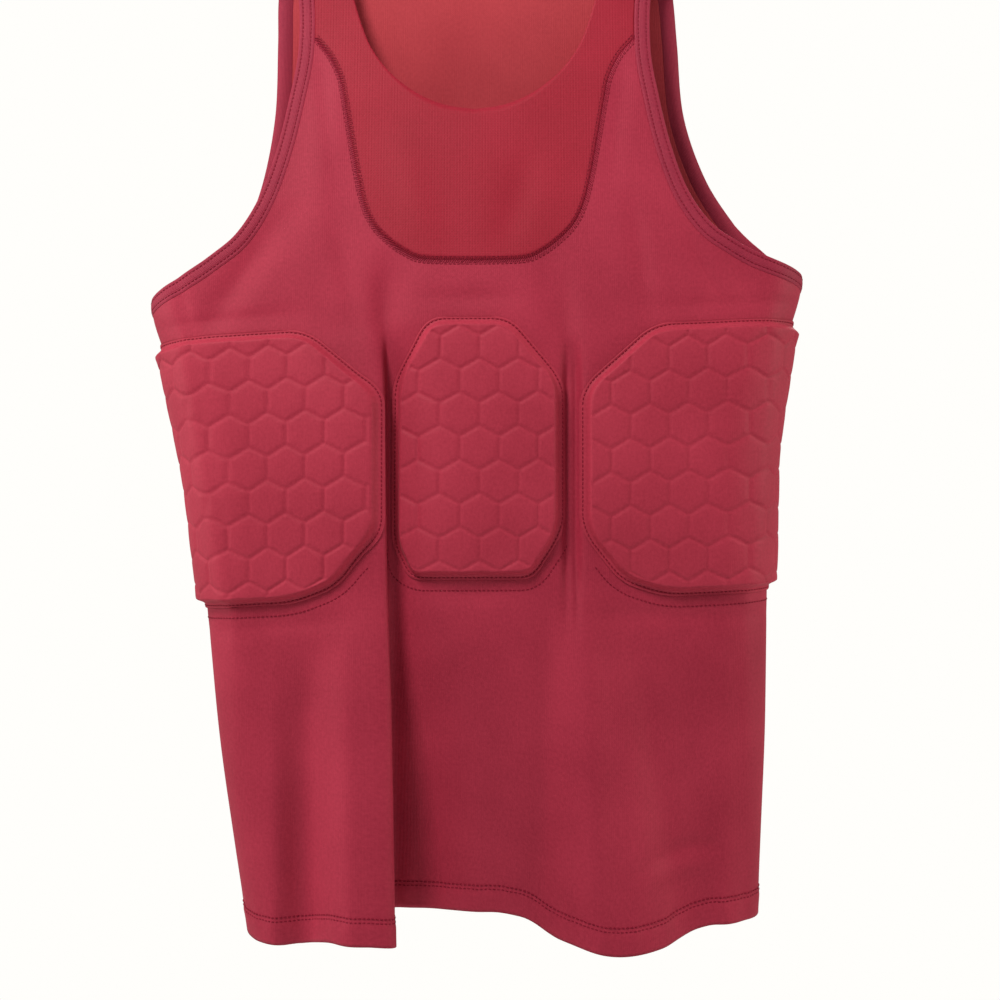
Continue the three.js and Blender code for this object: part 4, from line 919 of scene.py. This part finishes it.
def wall_distance(x, y):
    """Distance to the nearest wall of hexagons with two upright sides: half the cell less the largest of
    the three projections on the directions across its flats, in the nearer of two lattices."""
    step = np.array([CELL, CELL * np.sqrt(3)])
    sizes = []
    for shift in (0, 0.5):
        local = np.abs(((np.stack([x, y], -1) / step + shift + 0.5) % 1 - 0.5) * step)
        slanted = local[..., 0] / 2 + local[..., 1] * np.sqrt(3) / 2
        sizes.append(np.maximum(local[..., 0], slanted))
    return CELL / 2 - np.minimum(*sizes)


def pad_height(x, y, outline, centre):
    """Flange, then a bevel inside the outline, then the top: crowned cells with a rounded groove between
    them. A stitch groove runs round the flange."""
    inside = distance_inside(np.stack([x, y], -1).reshape(-1, 2), outline).reshape(x.shape)
    wall_away = wall_distance(x - centre[0], y - centre[1])
    cells = CELL_CROWN * blend(0, CELL_RISE, wall_away) - CELL_DEPTH * bump(wall_away, GROOVE_WIDTH)
    flange = PAD_FLANGE - FLANGE_GROOVE * bump(inside - FLANGE_LINE, FLANGE_GROOVE_REACH)
    top = PAD_HEIGHT - PAD_FLANGE + TOP_SWELL * blend(*SWELL_ROWS, inside)
    edge = mix(EDGE_SHARE, 1, blend(0, FLANGE_EDGE, inside))
    return edge * flange + top * blend(*BEVEL, inside) + cells * blend(*CELLS_FROM, inside)


def limits(outline, down):
    """Left and right limits of a convex outline at each height."""
    a, b = outline, np.roll(outline, -1, axis=0)
    low, high = np.minimum(a[:, 1], b[:, 1]), np.maximum(a[:, 1], b[:, 1])
    run = np.where(np.abs(b[:, 1] - a[:, 1]) < 1e-9, 1, b[:, 1] - a[:, 1])
    t = (down[:, None] - a[:, 1]) / run
    x = a[:, 0] + np.clip(t, 0, 1) * (b[:, 0] - a[:, 0])
    hit = (down[:, None] >= low - 1e-6) & (down[:, None] <= high + 1e-6)
    return np.where(hit, x, np.inf).min(1), np.where(hit, x, -np.inf).max(1)


def gathered(count, share):
    """Steps from 0 to 1 that are closer at both ends: u - share sin(2 pi u) / (2 pi)."""
    u = np.linspace(0, 1, count)
    return u - share * np.sin(2 * np.pi * u) / (2 * np.pi)


def foam_pad(name, corners, lay, columns, lines):
    """A closed shell: the relief above, and the same grid laid flat underneath."""
    outline = rounded(corners)
    low, high = outline.min(0), outline.max(0)
    down = mix(low[1], high[1], gathered(lines, 0.144))
    left, right = limits(outline, down)
    x = mix(left[None], right[None], gathered(columns, 0.35)[:, None])
    y = np.broadcast_to(down[None], x.shape)
    height = pad_height(x, y, outline, (low + high) / 2)
    base = WALL / 2 + PAD_LIFT
    upper = lay(x, y, base + height).reshape(-1, 3)
    lower = lay(x, y, np.full_like(x, base)).reshape(-1, 3)
    over = grid_faces(columns, lines)
    under = grid_faces(columns, lines, flip=True) + len(upper)
    grid = np.arange(columns * lines).reshape(columns, lines)
    rim = np.concatenate([grid[:, 0], grid[-1, 1:], grid[-2::-1, -1], grid[0, -2:0:-1]])
    turn = np.roll(rim, -1)
    sides = np.stack([rim, rim + len(upper), turn + len(upper), turn], -1)
    faces = np.concatenate([over, under, sides])
    uv = np.stack([x, -y], -1).reshape(-1, 2)
    piece = make_piece(name, np.concatenate([upper, lower]), faces, np.concatenate([uv, uv]))
    dress(piece, "foam", pad_cover)
    print(f"{name}: {len(faces)} quads, {np.ptp(x):.0f} by {high[1] - low[1]:.0f} mm")
    return piece, outline


pads = []
for word, corners, lay, columns, lines in (("left", side_corners(-1), unrolled, 186, 190),
                                           ("right", side_corners(1), unrolled, 186, 190),
                                           ("center", MIDDLE_PAD, OUT[FRONT], 124, 184)):
    piece, outline = foam_pad(f"foam_pad_{word}", corners, lay, columns, lines)
    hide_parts(f"pad_{word}")
    pads.append((outline, lay))

# %% [markdown]
# ## Stitches
#
# Thousands of stitches could be instances, but a game engine or a printer wants real shapes. One small
# capsule is made as an array and then placed at every stitch at once, turned to the seam's direction.

# %% Stitch helper
STITCH_LENGTH, STITCH_PITCH, NEAR = 2.3, 3.0, 0.3
THREAD_FLATNESS = 0.8


def capsule():
    """A spindle along x: rings at four places, six sides each, and a point at either end."""
    along = np.array([-0.42, -0.2, 0.2, 0.42])[:, None]
    girth = np.array([0.6, 1.0, 1.0, 0.6])[:, None] / 2
    turn = np.arange(6) * np.pi / 3
    rings = np.stack(np.broadcast_arrays(along, girth * np.cos(turn), girth * np.sin(turn)), -1)
    points = np.vstack([rings.reshape(-1, 3), [[-0.5, 0, 0], [0.5, 0, 0]]])
    quads = np.roll(grid_faces(4, 6, wrap=(False, True), flip=True), 1, axis=1)
    j = np.arange(6)
    after = (j + 1) % 6
    caps = [np.stack([0 * j + 24, j, after], -1), np.stack([0 * j + 25, 18 + after, 18 + j], -1)]
    return points, np.concatenate([quads[:, [0, 1, 2]], quads[:, [0, 2, 3]], *caps])


def stitch_row(lay, across, down, height, slant=0.0, pitch=STITCH_PITCH, length=STITCH_LENGTH):
    """Centres at equal steps along a path on the cloth, with each stitch's direction and the cloth's
    normal there; slant turns a stitch about the normal."""
    low = lay(across, down, np.broadcast_to(height, across.shape))
    high = lay(across, down, np.broadcast_to(height + 1.0, across.shape))
    run = lengths_along(low)
    at = np.arange(pitch / 2, run[-1], pitch)
    centre = sample(at, run, low)
    normal = sample(at, run, high - low)
    ahead = unit(sample(at + NEAR, run, low) - sample(at - NEAR, run, low))
    normal = unit(normal - (normal * ahead).sum(1, keepdims=True) * ahead)
    beside = np.cross(normal, ahead)
    wander = slant + rng.normal(0, 0.06, len(at))[:, None]
    turned = ahead * np.cos(wander) + beside * np.sin(wander)
    return centre, turned, normal, np.full(len(at), length)


def stitches(name, stitch_rows, width):
    """All rows in one mesh: centre + x along + y beside + z up, for every point of every capsule."""
    template, triangles = capsule()
    centre, ahead, normal, length = (np.concatenate(part) for part in zip(*stitch_rows))
    wide = width * (1 + rng.normal(0, 0.05, len(centre)))
    directions = (ahead * length[:, None], np.cross(normal, ahead) * wide[:, None],
                  normal * (wide * THREAD_FLATNESS)[:, None])
    points = centre[:, None] + sum(d[:, None] * template[:, k, None] for k, d in enumerate(directions))
    faces = triangles[None] + (np.arange(len(centre)) * len(template))[:, None, None]
    piece = make_piece(name, points.reshape(-1, 3), faces.reshape(-1, 3))
    dress(piece, "knit", thread)
    print(f"{name}: {len(centre)} stitches, {len(faces) * len(triangles)} triangles")


SKIN = WALL / 2 + 0.1
print("one stitch has", len(capsule()[1]), "triangles")

# %% [markdown]
# The hem has two rows of straight stitches. They follow the cloth, so they show every fold.

# %% Hem stitches
HEM_POINTS = 1500
hem_rows = []
for sheet in (FRONT, BACK):
    for line in HEM_LINES:
        down = HEM_DOWN - line
        left, right = (float(side_seam(sheet, side, down)) - side for side in (-1, 1))
        across = np.linspace(left, right, HEM_POINTS)
        height = SKIN + hem_height(across, down) + 0.1
        hem_rows.append(stitch_row(OUT[sheet], across, np.full_like(across, down), height))
stitches("hem_stitches", hem_rows, width=1.0)

# %% [markdown]
# The yoke's seam is a flatlock: two rows joined by slanted threads, which make a narrow flat band. The
# armhole bands carry two rows each. Both follow the same cut lines as the cloth.

# %% Yoke and band stitches
FLATLOCK_HALF = 2.6
yoke_rows = []
for side in (-1, 1):
    seam, _ = yoke_seam(side)
    for offset in (-FLATLOCK_HALF, FLATLOCK_HALF):
        line = seam + offset * inward(seam)
        yoke_rows.append(stitch_row(OUT[FRONT], side * line[:, 0], line[:, 1], SKIN + 0.1))
    yoke_rows.append(stitch_row(OUT[FRONT], side * seam[:, 0], seam[:, 1], SKIN + 0.15,
                                slant=1.0, pitch=1.5, length=5.4))
stitches("yoke_flatlock_stitches", yoke_rows, width=0.5)

band_rows = []
for side in (-1, 1):
    for sheet in (FRONT, BACK):
        for line in BAND_ROWS:
            path = mix(*armhole(sheet, side), line / BAND_WIDTH)[4:-4]
            height = SKIN + BAND_PROUD - BAND_GROOVE
            band_rows.append(stitch_row(OUT[sheet], side * path[:, 0], path[:, 1], height))
stitches("armhole_band_stitches", band_rows, width=0.65)

# %% [markdown]
# Each pad is sewn down through its flange, and a second line closes the pocket in the panel under it.

# %% Pad stitches
POCKET_OUT, POCKET_FROM = 7.0, 24
LOOP_POINTS, LOOP_SMOOTH = 700, 3


def loop_inside(outline, inset):
    """The outline moved square to itself, by a smoothed normal."""
    closed = evenly_spaced(np.vstack([outline, outline[:1]]), LOOP_POINTS)[:-1]
    ahead = unit(np.roll(closed, -LOOP_SMOOTH, axis=0) - np.roll(closed, LOOP_SMOOTH, axis=0))
    square = np.stack([-ahead[:, 1], ahead[:, 0]], -1)
    towards = np.sign(((closed.mean(0) - closed) * square).sum(1).sum())
    moved = closed + towards * inset * square
    return np.vstack([moved, moved[:1]])


pad_rows = []
for outline, lay in pads:
    path = loop_inside(outline, FLANGE_LINE)
    pad_rows.append(stitch_row(lay, path[:, 0], path[:, 1], WALL / 2 + PAD_LIFT + PAD_FLANGE - 0.35))
    below = loop_inside(outline, -POCKET_OUT)
    low = below[:, 1] > outline[:, 1].max() - POCKET_FROM
    first = int(np.argmax(low & ~np.roll(low, 1)))
    line = np.roll(below, -first, axis=0)[: int(low.sum())]
    pad_rows.append(stitch_row(lay, line[:, 0], line[:, 1], SKIN))
stitches("pad_stitches", pad_rows, width=0.85)

# %% [markdown]
# ## The hanger
#
# The hanger keeps the shape of its solids. Only its finish is new.

# %% Hanger finish
for node, material in (("hanger_body", hanger_plastic), ("hanger_hook", hook_steel)):
    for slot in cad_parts[node].material_slots:
        slot.material = material
    print(node, "is now", material.name)

# %% [markdown]
# ## Stage, light and camera
#
# The shirt hangs high in a pale room, so the stage is a floor far below and a nearly white world that
# gives a weaker glow than it shows. A light from above and the left draws the folds, one at each side
# brightens the edges of the cloth, and one from behind shines through the neck and the armholes.

# %% Stage
FLOOR_Z, FLOOR_X, FLOOR_Y = -1600, (-2500, 2500), (-3500, 1100)
corners = [(x, y, FLOOR_Z) for x, y in zip((*FLOOR_X, *FLOOR_X[::-1]), np.repeat(FLOOR_Y, 2))]
floor = make_piece("floor", np.array(corners, float), np.array([[0, 1, 2, 3]]), smooth=False)
pale, tree, shader = new_material("pale_floor", 0.9)
speckle = add_node(tree, "ShaderNodeTexNoise", {"Scale": 30.0})
shade = add_node(tree, "ShaderNodeMix", {"Factor": speckle.outputs[0], "A": linear("#e9e7e3"),
                                         "B": linear("#f3f1ee")}, data_type="RGBA")
set_inputs(tree, shader, {"Base Color": shade.outputs["Result"], "Emission Color": linear("#f3f1ee"),
                          "Emission Strength": 0.18})
floor.data.materials.append(pale)

world = bpy.data.worlds.new("pale room")
world.use_nodes = True
room = world.node_tree
seen = room.nodes["Background"]
set_inputs(room, seen, {"Color": linear("#fffefb"), "Strength": 1.0})
glow = add_node(room, "ShaderNodeBackground", {"Color": linear("#fff4ec"), "Strength": 0.24})
ray = add_node(room, "ShaderNodeLightPath").outputs["Is Camera Ray"]
either = add_node(room, "ShaderNodeMixShader", {0: ray, 1: glow.outputs[0], 2: seen.outputs[0]})
set_inputs(room, room.nodes["World Output"], {"Surface": either.outputs[0]})
bpy.context.scene.world = world


def soft_light(name, place, aim, size, power, colour):
    """A square lamp turned to face a point: its own -z axis goes along aim - place."""
    lamp = bpy.data.lights.new(name, "AREA")
    lamp.size, lamp.energy, lamp.color = size, power, linear(colour)[:3]
    holder = bpy.data.objects.new(name, lamp)
    holder.location = place
    holder.rotation_euler = (Vector(aim) - Vector(place)).to_track_quat("-Z", "Y").to_euler()
    bpy.context.collection.objects.link(holder)


soft_light("key", (-0.58, -0.86, 0.62), (0.0, 0.0, -0.28), 0.36, 18.0, "#fff6ee")
soft_light("left rim", (-1.5, -0.15, -0.2), (0.0, 0.0, -0.4), 0.6, 9.5, "#fff4ec")
soft_light("right rim", (1.5, -0.2, -0.15), (0.0, 0.0, -0.4), 0.8, 11.5, "#ffeee2")
soft_light("back", (0.7, 2.2, 0.9), (0.0, 0.0, -0.5), 1.2, 30.0, "#fff6ee")

# %% [markdown]
# The camera looks level at the middle of the shirt from about a metre. Its lens shows 0.69 m of the
# plane that is one metre away, so a pixel is 0.69 mm there.

# %% Camera
CAMERA_PLACE = (0.018, -1.040, -0.513)
FRAME_WIDTH, FRAME_DISTANCE, SENSOR = 0.690, 1.0, 36.0
lens = bpy.data.cameras.new("camera")
lens.sensor_width = SENSOR
lens.lens = SENSOR * FRAME_DISTANCE / FRAME_WIDTH
lens.clip_end = 50.0
camera = bpy.data.objects.new("camera", lens)
camera.location = CAMERA_PLACE
camera.rotation_euler = (np.pi / 2, 0, 0)
bpy.context.collection.objects.link(camera)
bpy.context.scene.camera = camera
bpy.context.scene.view_settings.view_transform = "Standard"
print(f"lens {lens.lens:.1f} mm")
